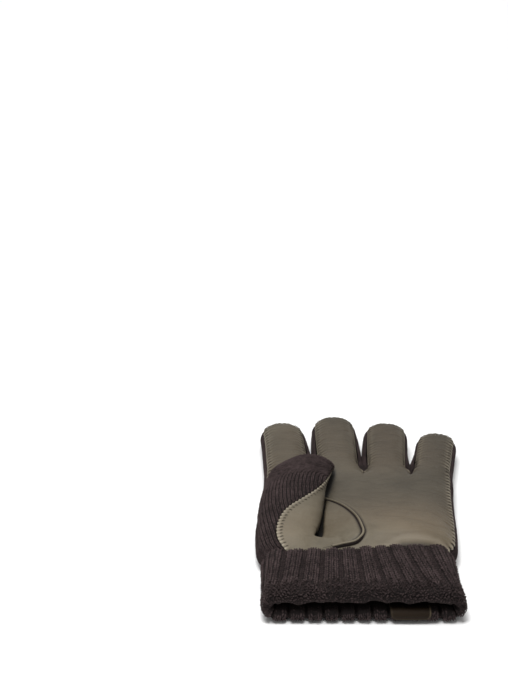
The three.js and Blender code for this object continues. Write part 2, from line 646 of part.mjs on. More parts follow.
// The rolled welt that lies in the thumb's seam.
function seamWelt() {
  const path = new THREE.CatmullRomCurve3(
    Array.from({ length: 17 }, (_, i) => {
      const p = besideSeam(mix(WELT_FROM, WELT_TO, i / 16), 0);
      return new THREE.Vector3(p.x, p.y, palmHeight(p.x, p.y) - WELT_SUNK);
    }),
  );
  const section = new THREE.Shape();
  section.absarc(0, 0, WELT_RADIUS, 0, 2 * Math.PI);
  const sweep = { extrudePath: path, steps: 34, curveSegments: 6, bevelEnabled: false };
  return new THREE.ExtrudeGeometry(section, sweep);
}

const LEATHER = { color: 0x655e51, roughness: 0.5, metalness: 0 };
const WELT_LEATHER = { color: 0x4a4438, roughness: 0.5, metalness: 0 };
const TAB_LEATHER = { color: 0x3a2f26, roughness: 0.6, metalness: 0 };
const WOOL = { color: 0x383030, roughness: 0.95, metalness: 0 };
const RIB_WOOL = { color: 0x312929, roughness: 0.95, metalness: 0 };

const glove = new THREE.Group();
function piece(name, geometry, finish) {
  const mesh = new THREE.Mesh(geometry, new THREE.MeshStandardMaterial(finish));
  mesh.name = name;
  glove.add(mesh);
}
piece("palm_leather", leatherPalm(), LEATHER);
piece("back_knit", knittedBack(), WOOL);
piece("thumb_knit", thumbPart("wool", KNIT_WALL), WOOL);
piece("thumb_leather", thumbPart("leather", LEATHER_WALL), LEATHER);
piece("thumb_welt", seamWelt(), WELT_LEATHER);
piece("rib_cuff", ribbedCuff(), RIB_WOOL);
piece("hem_tab", hemTab(), TAB_LEATHER);

// The object's own origin: under the middle of its box, on the surface it lies on.
const middle = new THREE.Box3().setFromObject(glove).getCenter(new THREE.Vector3());
glove.children.forEach((mesh) => mesh.position.set(-middle.x, -middle.y, 0));

export default glove;
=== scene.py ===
"""A left-hand dress glove lying palm up: knitted wool back and thumb, leather palm and thumb front, and a
ribbed wool cuff turned back on itself. Shapes are worked out in millimetres in the maker's frame, X from
the thumb to the little finger, Y from the wrist to the fingertips, and put in the part's frame last."""

import math

import bmesh
import bpy
import numpy as np
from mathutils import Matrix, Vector, kdtree, noise


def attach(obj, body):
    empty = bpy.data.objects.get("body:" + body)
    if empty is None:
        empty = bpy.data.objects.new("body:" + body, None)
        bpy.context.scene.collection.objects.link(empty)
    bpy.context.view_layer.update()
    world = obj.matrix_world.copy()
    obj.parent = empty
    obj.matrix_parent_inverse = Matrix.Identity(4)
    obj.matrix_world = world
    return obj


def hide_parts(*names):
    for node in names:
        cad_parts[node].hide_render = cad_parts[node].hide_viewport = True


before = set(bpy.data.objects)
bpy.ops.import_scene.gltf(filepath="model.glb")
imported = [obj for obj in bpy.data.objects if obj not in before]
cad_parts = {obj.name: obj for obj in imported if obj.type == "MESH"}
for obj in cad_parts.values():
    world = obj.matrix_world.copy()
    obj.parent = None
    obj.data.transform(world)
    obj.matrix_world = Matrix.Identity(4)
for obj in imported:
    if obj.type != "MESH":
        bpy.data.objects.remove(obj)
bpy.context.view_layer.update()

ORIGIN = np.array([4.5584259, 119.6082361, 0.0])   # the part's origin, in the maker's frame
SEED = 11

KNIT_WALL, SEAM_GAP = 2.2, 0.3

# For each finger, from the index to the little one: x and y of the tip, half width and height there.
TIP_X, TIP_Y, TIP_HALF, TIP_HEIGHT = np.array([
    (-42.6, 231.5, 14.4, 17.2),
    (-7.4, 241.0, 14.5, 17.6),
    (27.6, 231.5, 14.0, 17.2),
    (60.2, 215.4, 13.0, 16.4),
]).T
ROOTS = np.array([(-54.3, 163.0), (-23.5, 163.0), (7.0, 165.0), (36.0, 163.5), (62.0, 157.0)])

# y, left edge, right edge, top height, underside
HAND = np.array([
    (40.0, -53.4, 44.4, 14.8, 3.9), (46.0, -53.6, 44.5, 15.4, 3.9), (51.5, -57.0, 46.4, 16.6, 3.2),
    (57.0, -59.0, 50.2, 20.0, 0.4), (62.0, -59.8, 52.0, 21.0, 0.0), (84.0, -60.0, 54.6, 20.6, 0.0),
    (104.0, -58.4, 56.2, 19.4, 0.0), (126.0, -56.0, 58.2, 18.2, 0.0), (146.0, -54.8, 60.4, 17.6, 0.0),
    (163.0, -54.3, 62.0, 17.4, 0.0),
])
LEFT, RIGHT, TOP, BASE = 1, 2, 3, 4

# The palm's swellings and hollows: x, y, reach, height
MOUNDS = [(30.0, 66.0, 22.0, 2.2), (4.0, 108.0, 30.0, -1.4), (-38.0, 126.0, 26.0, -5.0)]

# The round wool side between the floor and the leather's seam.
SIDE_REACH, SIDE_MIDDLE, SIDE_RISE, SEAM_ANGLE = 5.5, 7.0, 6.0, math.radians(50)
SEAM_INSET = SIDE_REACH * (1 - math.cos(SEAM_ANGLE))
SEAM_HEIGHT = SIDE_MIDDLE + SIDE_RISE * math.sin(SEAM_ANGLE)

TIP_ROUND, WIDTH_RUN, NOTCH_ROUND = 13.5, 45.0, 1.2   # lengths: a tip, a finger's widening, a notch
FINGER_CROWN, PALM_CROWN = 2.5, 3.4   # powers of the leather's swell
FIRST_ROW, LAST_ROW = 40, 148.0   # y of the palm's rows
NOTCH_CUT, NOTCH_HALF, NOTCH_RUN = 7.5, 4.2, 13.0   # the leather is cut further down than the wool

# The curved seam round the half-moon, from the cuff to the thumb's side.
THUMB_SEAM = np.array([
    (-25.0, 50.0, 0), (-13.0, 52.8, 0), (-4.4, 55.0, 0), (-1.0, 59.6, 0), (-1.2, 70.0, 0),
    (-4.0, 85.0, 0), (-11.0, 100.5, 0), (-22.0, 111.0, 0), (-37.0, 118.5, 0), (-54.0, 124.5, 0),
])
WELT_RADIUS, WELT_FROM, WELT_TO = 0.8, 0.06, 0.9
SEAM_CLEAR = WELT_RADIUS + SEAM_GAP

# Sections of the thumb: number, x, y, z, half width, half thickness, roll, and in degrees round the section
# its far edge, its leather seam and its leather's fold. Then come the y where its wool joins the hand, and
# the point of the curved seam that its leather ends on.
THUMB = np.array([
    (0, -36.5, 40.4, 8.9, 16.4, 5.5, 0, 148, 112, 4, 40.4, 0.1),
    (1, -36.5, 47, 8.9, 16.8, 5.9, 0, 150, 112, 2, 46, 0.8),
    (2, -41.5, 60, 11.8, 18.2, 8.6, 0, 174, 115, -12, 60, 2.3),
    (3, -42, 80, 14.8, 18.5, 10, 2, 184, 97, -42, 80, 3.7),
    (4, -40, 98, 19, 19.5, 9, 8, 190, 54, -78, 103, 5.2),
    (5, -36.5, 117, 24.2, 19.5, 7.4, 9, 190, 12, -110, 121, 8),
    (6, -31.5, 132, 24.0, 17.5, 6.4, 6, 190, 0, -110, 121, 8),
    (7, -26, 143, 22.8, 14.2, 5.8, 4, 190, -4, -110, 121, 8),
])
HALF, THICK, ROLL, FAR, SEAM, FOLD, SIDE, SEWN = range(4, 12)
THUMB_AXIS = np.vstack([THUMB[:, 1:4], [(-20.5, 151.0, 21.0)]])
THUMB_LAST, THUMB_FREE, THUMB_EASE = 7, 5, 0.7   # the last section, and where the thumb leaves the palm
EDGE_STEP = 1.6   # how far the leather's edge lies below the wool's there
FOLD_PLACE, FOLD_CROWN = 1.55, 1.6   # the leather runs from 1 to 2 across the thumb, and folds between

# y, middle, half width, top height
CUFF = np.array([
    (0.0, -4.4, 53.8, 18.6), (12.0, -4.5, 52.9, 19.2), (26.0, -4.6, 52.4, 19.6), (40.0, -4.5, 52.6, 19.8),
    (48.0, -4.4, 53.0, 20.0),
])
RIBS, RIB_DEPTH, CUFF_DOUBLE, CUFF_JOIN, CUFF_FREE = 23, 0.9, 4.6, 39.6, 48.0
RIB_CROWD = 0.17   # how much wider the ribs are on the upper side, and narrower on the lower side
FOLD_SWELL = 2.2   # how much thicker the upper side is where it turns back
CUFF_SIDE, CUFF_SHOULDER, SLANT_LEFT, SLANT_RIGHT = 8.0, 0.9, -2.0, 3.0
TAB_LEFT, TAB_RIGHT, TAB_WALL, TAB_INSIDE, TAB_BEND, TAB_LOW, TAB_GAP = 9.0, 29.8, 1.2, 13.0, 3.4, 2.6, 0.35

STITCH_PITCH = 4.1   # along the seams of leather and wool
WALE, COURSE, RIB_COURSE = 2.2, 1.9, 2.2   # one knitted stitch


# Curves and tables.
def clamp01(t):
    return np.clip(t, 0.0, 1.0)


def smooth(t):
    t = clamp01(t)
    return t * t * (3 - 2 * t)


def mix(a, b, t):
    return a + (b - a) * t


def crown(u, power):
    return np.maximum(0, 1 - np.abs(u) ** power) ** (1 / power)


def shoulder(u, power, steep=0.25):
    """A crown that slopes down to its seam, so that the stitches there lie open to view."""
    return steep * crown(u, power) + (1 - steep) * (1 - np.minimum(1, np.abs(u)) ** (power * 1.35))


def read(table, column, at):
    """Reads a column of a table at any place of its first column, by a smooth curve through its rows."""
    x, y = table[:, 0], table[:, column]
    last = len(x) - 1
    row = np.clip(np.searchsorted(x, at, side="left") - 1, 0, last - 1)
    before, after = np.maximum(row - 1, 0), np.minimum(row + 2, last)
    slope_a = (y[row + 1] - y[before]) / (x[row + 1] - x[before])
    slope_b = (y[after] - y[row]) / (x[after] - x[row])
    span = x[row + 1] - x[row]
    t = clamp01((at - x[row]) / span)
    t2, t3 = t * t, t * t * t
    return ((2 * t3 - 3 * t2 + 1) * y[row] + (t3 - 2 * t2 + t) * span * slope_a
            + (3 * t2 - 2 * t3) * y[row + 1] + (t3 - t2) * span * slope_b)


def through(points, share):
    """A point on the smooth curve through some points, with share from 0 to 1."""
    points = np.asarray(points, float)
    share = np.atleast_1d(np.asarray(share, float))
    last = len(points) - 1
    place = clamp01(share) * last
    i = np.minimum(np.floor(place).astype(int), last - 1)
    w = (place - i)[:, None]
    padded = np.vstack([2 * points[0] - points[1], points, 2 * points[-1] - points[-2]])
    p0, p1, p2, p3 = padded[i], padded[i + 1], padded[i + 2], padded[i + 3]
    d0, d1, d2 = (np.sqrt(np.linalg.norm(b - a, axis=1))[:, None]
                  for a, b in ((p0, p1), (p1, p2), (p2, p3)))
    t1 = ((p1 - p0) / d0 - (p2 - p0) / (d0 + d1) + (p2 - p1) / d1) * d1
    t2 = ((p2 - p1) / d1 - (p3 - p1) / (d1 + d2) + (p3 - p2) / d2) * d1
    return p1 + t1 * w + (-3 * p1 + 3 * p2 - 2 * t1 - t2) * w ** 2 + (2 * p1 - 2 * p2 + t1 + t2) * w ** 3


def unit(vectors):
    return vectors / np.maximum(np.linalg.norm(vectors, axis=-1, keepdims=True), 1e-9)


def level_frame(along):
    """For unit directions along a line: the level direction across, and the way up."""
    side = unit(np.cross(along, (0, 0, 1.0)))
    return side, np.cross(side, along)


def points_at(where, run, points):
    """Points of a line at places of its run."""
    return np.stack([np.interp(where, run, points[:, k]) for k in range(points.shape[1])], axis=1)


def run_along(points, axis=0):
    """The length run along lines of points, from 0 at their start."""
    step = np.linalg.norm(np.diff(points, axis=axis), axis=-1)
    return np.concatenate([np.zeros_like(np.take(step, [0], axis)), np.cumsum(step, axis=axis)], axis=axis)


def direction(points, share):
    """The way along that curve."""
    share = np.atleast_1d(np.asarray(share, float))
    return unit(through(points, clamp01(share + 1e-4)) - through(points, clamp01(share - 1e-4)))


def beside_seam(share, distance):
    """Points at a distance from the curved seam, on its palm side where the distance is positive."""
    p, ahead = through(THUMB_SEAM, share), direction(THUMB_SEAM, share)
    return np.stack([p[:, 0] + ahead[:, 1] * distance, p[:, 1] - ahead[:, 0] * distance], axis=1)


PALM_LINE = beside_seam(np.linspace(0, 1, 41), SEAM_CLEAR)[:, ::-1]
PALM_LINE_END = PALM_LINE[-1, 0]


# The hand.
def finger_axis(n):
    """A finger's root, length and direction, and the half width and the slope of its root."""
    left, right = ROOTS[n], ROOTS[n + 1]
    root = (left + right) / 2
    run = np.array([TIP_X[n], TIP_Y[n]]) - root
    length = np.hypot(*run)
    return root, length, run / length, (right[0] - left[0]) / 2, (right[1] - left[1]) / 2


def finger_plan(n, across, run, inset):
    """Points of a finger seen from above: across from -1 to 1, run in millimetres from the root."""
    root, length, head, root_half, root_slope = finger_axis(n)
    notch = NOTCH_ROUND + inset
    share = smooth(run / WIDTH_RUN)
    open_notch = np.sqrt(np.maximum(0, 1 - (1 - clamp01(run / notch)) ** 2))
    inner_edge = notch * open_notch * (1 - share) + inset * share
    outer = ((n == 0) & (across < 0)) | ((n == 3) & (across > 0))
    edge = np.where(outer, inset, inner_edge)
    half = mix(root_half, TIP_HALF[n], share) - edge
    beyond = clamp01((run - length + TIP_ROUND - inset) / (TIP_ROUND - inset))
    sideways = across * half * np.sqrt(np.maximum(0, 1 - beyond ** 2))
    forward = run - inset
    x = root[0] + head[0] * forward + sideways * mix(1, head[1], share)
    y = root[1] + head[1] * forward + sideways * mix(root_slope / root_half, -head[0], share)
    return x, y


def palm_height(x, y):
    """The height of the leather over the palm."""
    left, right = read(HAND, LEFT, y) + SEAM_INSET, read(HAND, RIGHT, y) - SEAM_INSET
    u = np.minimum(1, np.abs((2 * x - left - right) / (right - left)))
    z = SEAM_HEIGHT + (read(HAND, TOP, y) - SEAM_HEIGHT) * shoulder(u, PALM_CROWN * 1.3)
    for mx, my, reach, height in MOUNDS:
        away = np.hypot(x - mx, y - my) / reach
        z = z + height * np.exp(-1.6 * away * away) * crown(u, 2) * smooth((y - 50) / 12)
    return z


def finger_height(n, across, run):
    """The height of the leather over a finger."""
    length = finger_axis(n)[1]
    closing = clamp01(1 - (length - run) / (TIP_ROUND + 2))
    rise = TIP_HEIGHT[n] - SEAM_HEIGHT
    return SEAM_HEIGHT + rise * shoulder(across, FINGER_CROWN) * crown(closing, 2.2)


def finger_runs(n, step):
    """Rows along a finger: fine where the notch opens, and by equal turns round the tip."""
    length = finger_axis(n)[1]
    turns = np.sin(np.linspace(0, math.pi / 2, max(6, int(21 / step))))
    notch = np.arange(0, 4, min(step, 0.45))
    straight = np.linspace(4, length - TIP_ROUND, max(3, int((length - TIP_ROUND - 4) / step)))
    return np.concatenate([notch, straight, (length - TIP_ROUND + TIP_ROUND * turns)[1:]])


def columns_of(count):
    """Places across a finger, closer together towards its edges."""
    w = np.linspace(-1, 1, count + 1)
    return 0.6 * w + 0.4 * np.sin(math.pi / 2 * w)


def hand_grids(columns, step, inset, beside_thumb):
    """Plans of the palm and the four fingers: x, y, the finger's number and the place across it. A finger
    also has the run from its root, and the palm the share of the way from its last row to the roots."""
    across_one = columns_of(columns)
    numbers = np.concatenate([np.full(columns + (n == 3), n) for n in range(4)])
    across = np.concatenate([across_one[:-1]] * 3 + [across_one])
    roots = [finger_plan(n, across_one, np.zeros(columns + 1), inset) for n in range(4)]
    root_x = np.concatenate([r[0][:-1] for r in roots[:3]] + [roots[3][0]])
    root_y = np.concatenate([r[1][:-1] for r in roots[:3]] + [roots[3][1]])
    y = np.linspace(FIRST_ROW, LAST_ROW, int((LAST_ROW - FIRST_ROW) / step))
    y, rx, ry = y[:, None], root_x[None, :], root_y[None, :]
    left = read(HAND, LEFT, y) + inset
    if beside_thumb:
        line = read(PALM_LINE, 1, y)
        left = np.where(y < PALM_LINE_END, np.maximum(left, line), left)
    right = read(HAND, RIGHT, y) - inset
    share = (rx - rx[0, 0]) / (rx[0, -1] - rx[0, 0])
    lift = (ry + inset - ROOTS[1, 1]) * smooth((y - 115) / 40)
    x, y = mix(left, right, share), y + lift
    steps = np.linspace(0, 1, int(16 / step) + 1)[1:, None]
    x = np.vstack([x, mix(x[-1:], rx, steps)])
    y = np.vstack([y, mix(y[-1:], ry, steps)])
    reach = np.concatenate([np.zeros(len(x) - len(steps)), steps[:, 0]])
    palm = {"x": x, "y": y, "number": np.broadcast_to(numbers, x.shape),
            "across": np.broadcast_to(across, x.shape), "reach": np.broadcast_to(reach[:, None], x.shape)}
    fingers = []
    for n in range(4):
        run, a = np.meshgrid(finger_runs(n, step), across_one, indexing="ij")
        fx, fy = finger_plan(n, a, run, inset)
        fingers.append({"x": fx, "y": fy, "number": n, "across": a, "run": run})
    return palm, fingers


def deepen_notches(grid):
    """The leather is cut further down between the fingers than the wool is."""
    x, y = grid[..., 0].copy(), grid[..., 1].copy()
    for nx, ny in ROOTS[1:4]:
        across = np.exp(-((x - nx) / NOTCH_HALF) ** 2)
        grid[..., 1] -= NOTCH_CUT * across * np.exp(-((y - ny) / NOTCH_RUN) ** 2)
    return grid


def palm_top(palm):
    """The palm's height, which runs over into that of the fingers at their roots."""
    finger = np.zeros(palm["x"].shape)
    for n in range(4):
        here = palm["number"] == n
        finger[here] = finger_height(n, palm["across"][here], 0.0)
    parting = np.maximum(smooth((palm["y"] - 134) / 28) ** 1.6, smooth(palm["reach"]))
    return mix(palm_height(palm["x"], palm["y"]), finger, parting)


# Meshes.
def stack(*columns):
    return np.stack(np.broadcast_arrays(*columns), axis=-1)


def mesh_object(name, points, faces, values=None, weld=0.0):
    """A mesh from points in millimetres. values are named numbers for each point, and weld is the distance
    in which points are joined."""
    mesh = bpy.data.meshes.new(name)
    flat = (points.reshape(-1, 3) - ORIGIN) / 1000
    mesh.from_pydata(flat.tolist(), [], [list(map(int, f)) for f in faces])
    for key, numbers in (values or {}).items():
        numbers = np.asarray(numbers, float)
        kind = "FLOAT_VECTOR" if numbers.ndim == 2 else "FLOAT"
        layer = mesh.attributes.new(key, kind, "POINT")
        layer.data.foreach_set("vector" if numbers.ndim == 2 else "value", numbers.ravel())
    mesh.validate()
    mesh.polygons.foreach_set("use_smooth", np.ones(len(mesh.polygons), bool))
    piece = bpy.data.objects.new(name, mesh)
    bpy.context.scene.collection.objects.link(piece)
    if weld:
        work = bmesh.new()
        work.from_mesh(mesh)
        bmesh.ops.remove_doubles(work, verts=work.verts, dist=weld / 1000)
        work.to_mesh(mesh)
        work.free()
    return piece


def grid_faces(rows, columns, start=0, flip=False, closed=False):
    r, c = np.meshgrid(np.arange(rows - 1), np.arange(columns if closed else columns - 1), indexing="ij")
    after = (c + 1) % columns
    here, ahead = r * columns, (r + 1) * columns
    faces = np.stack([here + c, here + after, ahead + after, ahead + c], -1).reshape(-1, 4) + start
    return faces[:, ::-1] if flip else faces


class Patches:
    """Grids of points put together into one mesh."""
    def __init__(self):
        self.points, self.faces, self.values, self.count = [], [], {}, 0

    def add(self, grid, flip=False, closed=False, **values):
        rows, columns = grid.shape[:2]
        self.faces.append(grid_faces(rows, columns, self.count, flip, closed))
        self.points.append(grid.reshape(-1, 3))
        for key, numbers in values.items():
            self.values.setdefault(key, []).append(np.broadcast_to(numbers, (rows, columns)).ravel())
        self.count += rows * columns

    def build(self, name, weld=0.0):
        values = {key: np.concatenate(parts) for key, parts in self.values.items()}
        return mesh_object(name, np.vstack(self.points), np.vstack(self.faces), values, weld)


def normals_of(grid):
    """Unit normals of a grid of points, for faces that run row by column."""
    return unit(np.cross(np.gradient(grid, axis=1), np.gradient(grid, axis=0)))


def soft_noise(points, size, seed):
    """Smooth noise between about -1 and 1 at each point, for a wavelength in millimetres."""
    shift = Vector((seed * 7.3, seed * 3.1, seed * 5.7))
    flat = points.reshape(-1, 3) / size
    values = [noise.noise(Vector(p) + shift) for p in flat]
    return np.array(values).reshape(points.shape[:-1])


# Seams.
class Seam:
    """A sewn line: its points at small equal steps, with the way in from the edge and the way up. over is
    the line that the middles of the stitches lie on."""
    def __init__(self, line, inward, up, over=None, pitch=STITCH_PITCH, seed=0):
        run = run_along(line)
        count = int(run[-1] / 0.25)
        self.run = np.linspace(0, run[-1], count)
        over = line if over is None else over
        self.line, inward, up, self.over = (points_at(self.run, run, v) for v in (line, inward, up, over))
        self.inward, self.up = unit(inward), unit(up)
        self.pitch = run[-1] / round(run[-1] / pitch)
        random = np.random.default_rng(SEED + seed)
        self.reach = random.uniform(0.7, 1.6, int(run[-1] / self.pitch) + 3)
        self.tree = kdtree.KDTree(count)
        for i, p in enumerate(self.line):
            self.tree.insert(p, i)
        self.tree.balance()

    def near(self, points):
        """For each point: its distance from the seam and its place along it."""
        found = [self.tree.find(p)[1:] for p in points.reshape(-1, 3)]
        index = np.array([f[0] for f in found])
        away = np.array([f[1] for f in found])
        return away.reshape(points.shape[:-1]), index.reshape(points.shape[:-1])

    def pucker(self, points, normals, depth=1.0, bite=0.8, swell=0.5, length=2.6):
        """Draws a leather surface in at each stitch: a scalloped edge with short valleys running inwards.
        Returns the points, how far each lies in a valley, and a mask of the swells between the valleys for
        their painted highlight, each from 0 to 1."""
        away, index = self.near(points)
        place = self.run[index] / self.pitch
        between = np.abs(np.sin(math.pi * place)) ** 0.9
        reach = length * self.reach[np.round(place).astype(int)]
        valley = (1 - between) * np.exp(-away / reach)
        pull = (1 - between) * np.exp(-away / 0.7)
        puff = between * np.exp(-((away - 0.9) / 1.6) ** 2)
        moved = (points + normals * (swell * puff - depth * valley)[..., None]
                 + self.inward[index] * (bite * pull)[..., None])
        return moved, valley, between ** 2 * np.exp(-(away / (0.8 * length)) ** 2)

    def stitches(self):
        """The places of the stitches, with the way in and the way up there."""
        at = np.arange(math.floor(self.run[-1] / self.pitch) + 1) * self.pitch
        index = np.clip(np.searchsorted(self.run, at), 0, len(self.run) - 1)
        return self.over[index], self.inward[index], self.up[index]


# Materials.
def srgb(r, g, b):
    lin = [(v / 255 / 12.92) if v <= 10 else ((v / 255 + 0.055) / 1.055) ** 2.4 for v in (r, g, b)]
    return (*lin, 1.0)


class Tree:
    """Short hand for building a node tree."""
    def __init__(self, tree):
        self.tree = tree

    def link(self, output, socket):
        self.tree.links.new(output, socket)

    def node(self, kind, inputs=None, **settings):
        node = self.tree.nodes.new(kind)
        for key, value in settings.items():
            setattr(node, key, value)
        for key, value in (inputs or {}).items():
            if isinstance(value, bpy.types.NodeSocket):
                self.link(value, node.inputs[key])
            else:
                node.inputs[key].default_value = value
        return node

    def math(self, operation, a, b=0.0, c=None):
        values = {0: a, 1: b} if c is None else {0: a, 1: b, 2: c}
        return self.node("ShaderNodeMath", values, operation=operation).outputs[0]

    def ramp(self, value, low, high, to_low=0.0, to_high=1.0):
        return self.node("ShaderNodeMapRange", {"Value": value, "From Min": low, "From Max": high,
                                                "To Min": to_low, "To Max": to_high}).outputs["Result"]

    def blend(self, factor, a, b):
        return self.node("ShaderNodeMix", {0: factor, 6: a, 7: b}, data_type="RGBA").outputs[2]

    def clouds(self, vector, scale, detail, **inputs):
        values = {"Vector": vector, "Scale": scale, "Detail": detail, **inputs}
        return self.node("ShaderNodeTexNoise", values).outputs[0]

    def weighted(self, a, share_a, b, share_b):
        return self.math("ADD", self.math("MULTIPLY", a, share_a), self.math("MULTIPLY", b, share_b))


def shader_group(name, inputs, outputs):
    group = bpy.data.node_groups.new(name, "ShaderNodeTree")
    for key, kind, value in inputs:
        socket = group.interface.new_socket(key, in_out="INPUT", socket_type=kind)
        if value is not None:
            socket.default_value = value
    for key, kind in outputs:
        group.interface.new_socket(key, in_out="OUTPUT", socket_type=kind)
    t = Tree(group)
    return group, t, t.node("NodeGroupInput").outputs, t.node("NodeGroupOutput").inputs


def yarn_fibre_group():
    """Fine fibres and flecks of woollen yarn."""
    group, t, i, o = shader_group(
        "yarn_fibre",
        [("Vector", "NodeSocketVector", None), ("Dark", "NodeSocketColor", (0, 0, 0, 1)),
         ("Light", "NodeSocketColor", (1, 1, 1, 1)), ("Fleck", "NodeSocketFloat", 0.3)],
        [("Color", "NodeSocketColor"), ("Height", "NodeSocketFloat")])
    broad = t.clouds(i["Vector"], 90.0, 2.0)
    fine = t.clouds(i["Vector"], 1900.0, 4.0, Roughness=0.7)
    fibre = t.clouds(i["Vector"], 4200.0, 2.0)
    mottle = t.clouds(i["Vector"], 520.0, 2.0)
    tone = t.math("ADD", t.weighted(broad, 0.3, fine, 0.3), t.math("MULTIPLY", mottle, 0.5))
    colour = t.blend(t.ramp(tone, 0.40, 0.70), i["Dark"], i["Light"])
    fleck = t.math("MULTIPLY", t.ramp(fibre, 0.62, 0.75), i["Fleck"])
    t.link(t.blend(fleck, colour, srgb(128, 112, 104)), o["Color"])
    t.link(t.weighted(fine, 0.6, fibre, 0.4), o["Height"])
    return group


def leather_grain_group():
    """Fine pores, small creases and soft cloudy colour of glove leather."""
    group, t, i, o = shader_group(
        "leather_grain",
        [("Vector", "NodeSocketVector", None), ("Dark", "NodeSocketColor", (0, 0, 0, 1)),
         ("Light", "NodeSocketColor", (1, 1, 1, 1)), ("Brown", "NodeSocketColor", (0.2, 0.1, 0.05, 1)),
         ("Crease", "NodeSocketFloat", 0.5)],
        [("Color", "NodeSocketColor"), ("Height", "NodeSocketFloat"), ("Roughness", "NodeSocketFloat")])
    cloud = t.clouds(i["Vector"], 26.0, 4.0)
    pores = t.node("ShaderNodeTexVoronoi", {"Vector": i["Vector"], "Scale": 1500.0},
                   feature="DISTANCE_TO_EDGE")
    pore = t.ramp(pores.outputs["Distance"], 0.0, 0.25)
    fine = t.clouds(i["Vector"], 700.0, 4.0)
    squash = t.node("ShaderNodeMapping", {"Vector": i["Vector"], "Scale": (45.0, 420.0, 60.0)}).outputs[0]
    lines = t.clouds(squash, 1.0, 3.0, Distortion=0.4)
    line = t.math("MULTIPLY", t.ramp(lines, 0.44, 0.36), i["Crease"])
    colour = t.blend(t.ramp(t.weighted(cloud, 0.8, fine, 0.25), 0.38, 0.72), i["Dark"], i["Light"])
    broad = t.clouds(i["Vector"], 15.0, 1.0)
    colour = t.blend(t.ramp(broad, 0.42, 0.66, 0.0, 0.7), colour, i["Brown"])
    # Fine creases are painted darker, as their shade.
    t.link(t.blend(t.math("MULTIPLY", line, 0.3), colour, i["Dark"]), o["Color"])
    height = t.weighted(pore, 0.35, fine, 0.5)
    t.link(t.math("SUBTRACT", height, t.math("MULTIPLY", line, 0.5)), o["Height"])
    t.link(t.ramp(fine, 0.3, 0.7, 0.44, 0.6), o["Roughness"])
    return group


def new_material(name, finish):
    """A material with one shader. finish gives the values of its plain sockets."""
    material = bpy.data.materials.new(name)
    material.use_nodes = True
    material.node_tree.nodes.clear()
    t = Tree(material.node_tree)
    shader = t.node("ShaderNodeBsdfPrincipled", finish)
    output = t.node("ShaderNodeOutputMaterial")
    t.link(shader.outputs[0], output.inputs[0])
    return material, t, shader.inputs


def set_bump(t, shader, height, distance, strength):
    bump = t.node("ShaderNodeBump", {"Height": height, "Distance": distance, "Strength": strength})
    t.link(bump.outputs[0], shader["Normal"])


def wool_material(name, dark, light, fleck=0.25):
    material, t, shader = new_material(name, {
        "Roughness": 0.95, "Specular IOR Level": 0.15, "Sheen Weight": 0.12, "Sheen Roughness": 0.6,
        "Sheen Tint": srgb(150, 128, 122)})
    spot = t.node("ShaderNodeTexCoord").outputs["Object"]
    yarn = t.node("ShaderNodeGroup", {"Vector": spot, "Dark": dark, "Light": light, "Fleck": fleck},
                  node_tree=YARN_FIBRE).outputs
    t.link(yarn["Color"], shader["Base Color"])
    set_bump(t, shader, yarn["Height"], 0.0004, 0.8)
    return material


def leather_material(name, dark, light, brown, crease=0.3, pale=srgb(158, 148, 130), gloss=0.3):
    """Leather painted darker towards the fingers as shade, painted pale on its ridges as highlight, and
    painted near black in its folds as shade.
    """
    material, t, shader = new_material(name, {"Specular IOR Level": gloss})
    spot = t.node("ShaderNodeTexCoord").outputs["Object"]
    grain = t.node("ShaderNodeGroup", {"Vector": spot, "Dark": dark, "Light": light, "Brown": brown,
                                       "Crease": crease}, node_tree=LEATHER_GRAIN).outputs
    x, y = t.node("ShaderNodeSeparateXYZ", {"Vector": spot}).outputs[:2]
    # Painted shade: darker towards the fingers, and more so on the little finger's side, in place of the
    # light and sheen that fall less there than near the wrist.
    painted_shade_to_fingers = t.math("MULTIPLY", t.ramp(y, -0.06, -0.01, 0.0, 0.50), t.math("MULTIPLY_ADD", x, 5.0, 1.0))
    colour = t.blend(painted_shade_to_fingers, grain["Color"], srgb(40, 34, 26))
    # Painted highlight on ridges, and painted shade, near black, in folds, hollows and slits.
    ridge, shade = (t.node("ShaderNodeAttribute", attribute_name=key).outputs["Fac"]
                    for key in ("ridge", "shade"))
    colour = t.blend(t.math("MULTIPLY", ridge, 0.85), colour, pale)
    t.link(t.blend(shade, colour, srgb(10, 8, 7)), shader["Base Color"])
    t.link(t.math("MAXIMUM", grain["Roughness"], shade), shader["Roughness"])
    set_bump(t, shader, grain["Height"], 0.00025, 0.7)
    return material


YARN_FIBRE = yarn_fibre_group()
LEATHER_GRAIN = leather_grain_group()
PALM_LEATHER = leather_material("nappa_leather", srgb(81, 74, 60), srgb(110, 102, 86), srgb(95, 82, 64))
# The welt is the palm's leather, painted paler as the highlight along its rolled top.
WELT_HIGHLIGHT_LEATHER = leather_material("welt_leather", srgb(100, 92, 76), srgb(128, 119, 102), srgb(106, 95, 76),
                                crease=0.1)
# The tab's leather: its own dark brown, darkened further as painted shade, since it lies in the cuff's
# mouth.
TAB_LEATHER = leather_material("tab_leather", srgb(29, 22, 15), srgb(44, 35, 26), srgb(36, 27, 19),
                               crease=0.2, pale=srgb(120, 108, 90), gloss=0.08)
KNIT_WOOL = wool_material("knit_wool", srgb(24, 18, 19), srgb(66, 55, 55))
RIB_WOOL = wool_material("rib_wool", srgb(24, 18, 19), srgb(68, 57, 57))
# The wool in the notches between the fingers, painted darker as shade.
WEB_SHADE_WOOL = wool_material("web_wool_painted_shade", srgb(15, 11, 11), srgb(42, 34, 34), 0.1)
FOLD_WOOL = wool_material("fold_wool", srgb(18, 13, 13), srgb(62, 52, 52), 0.3)
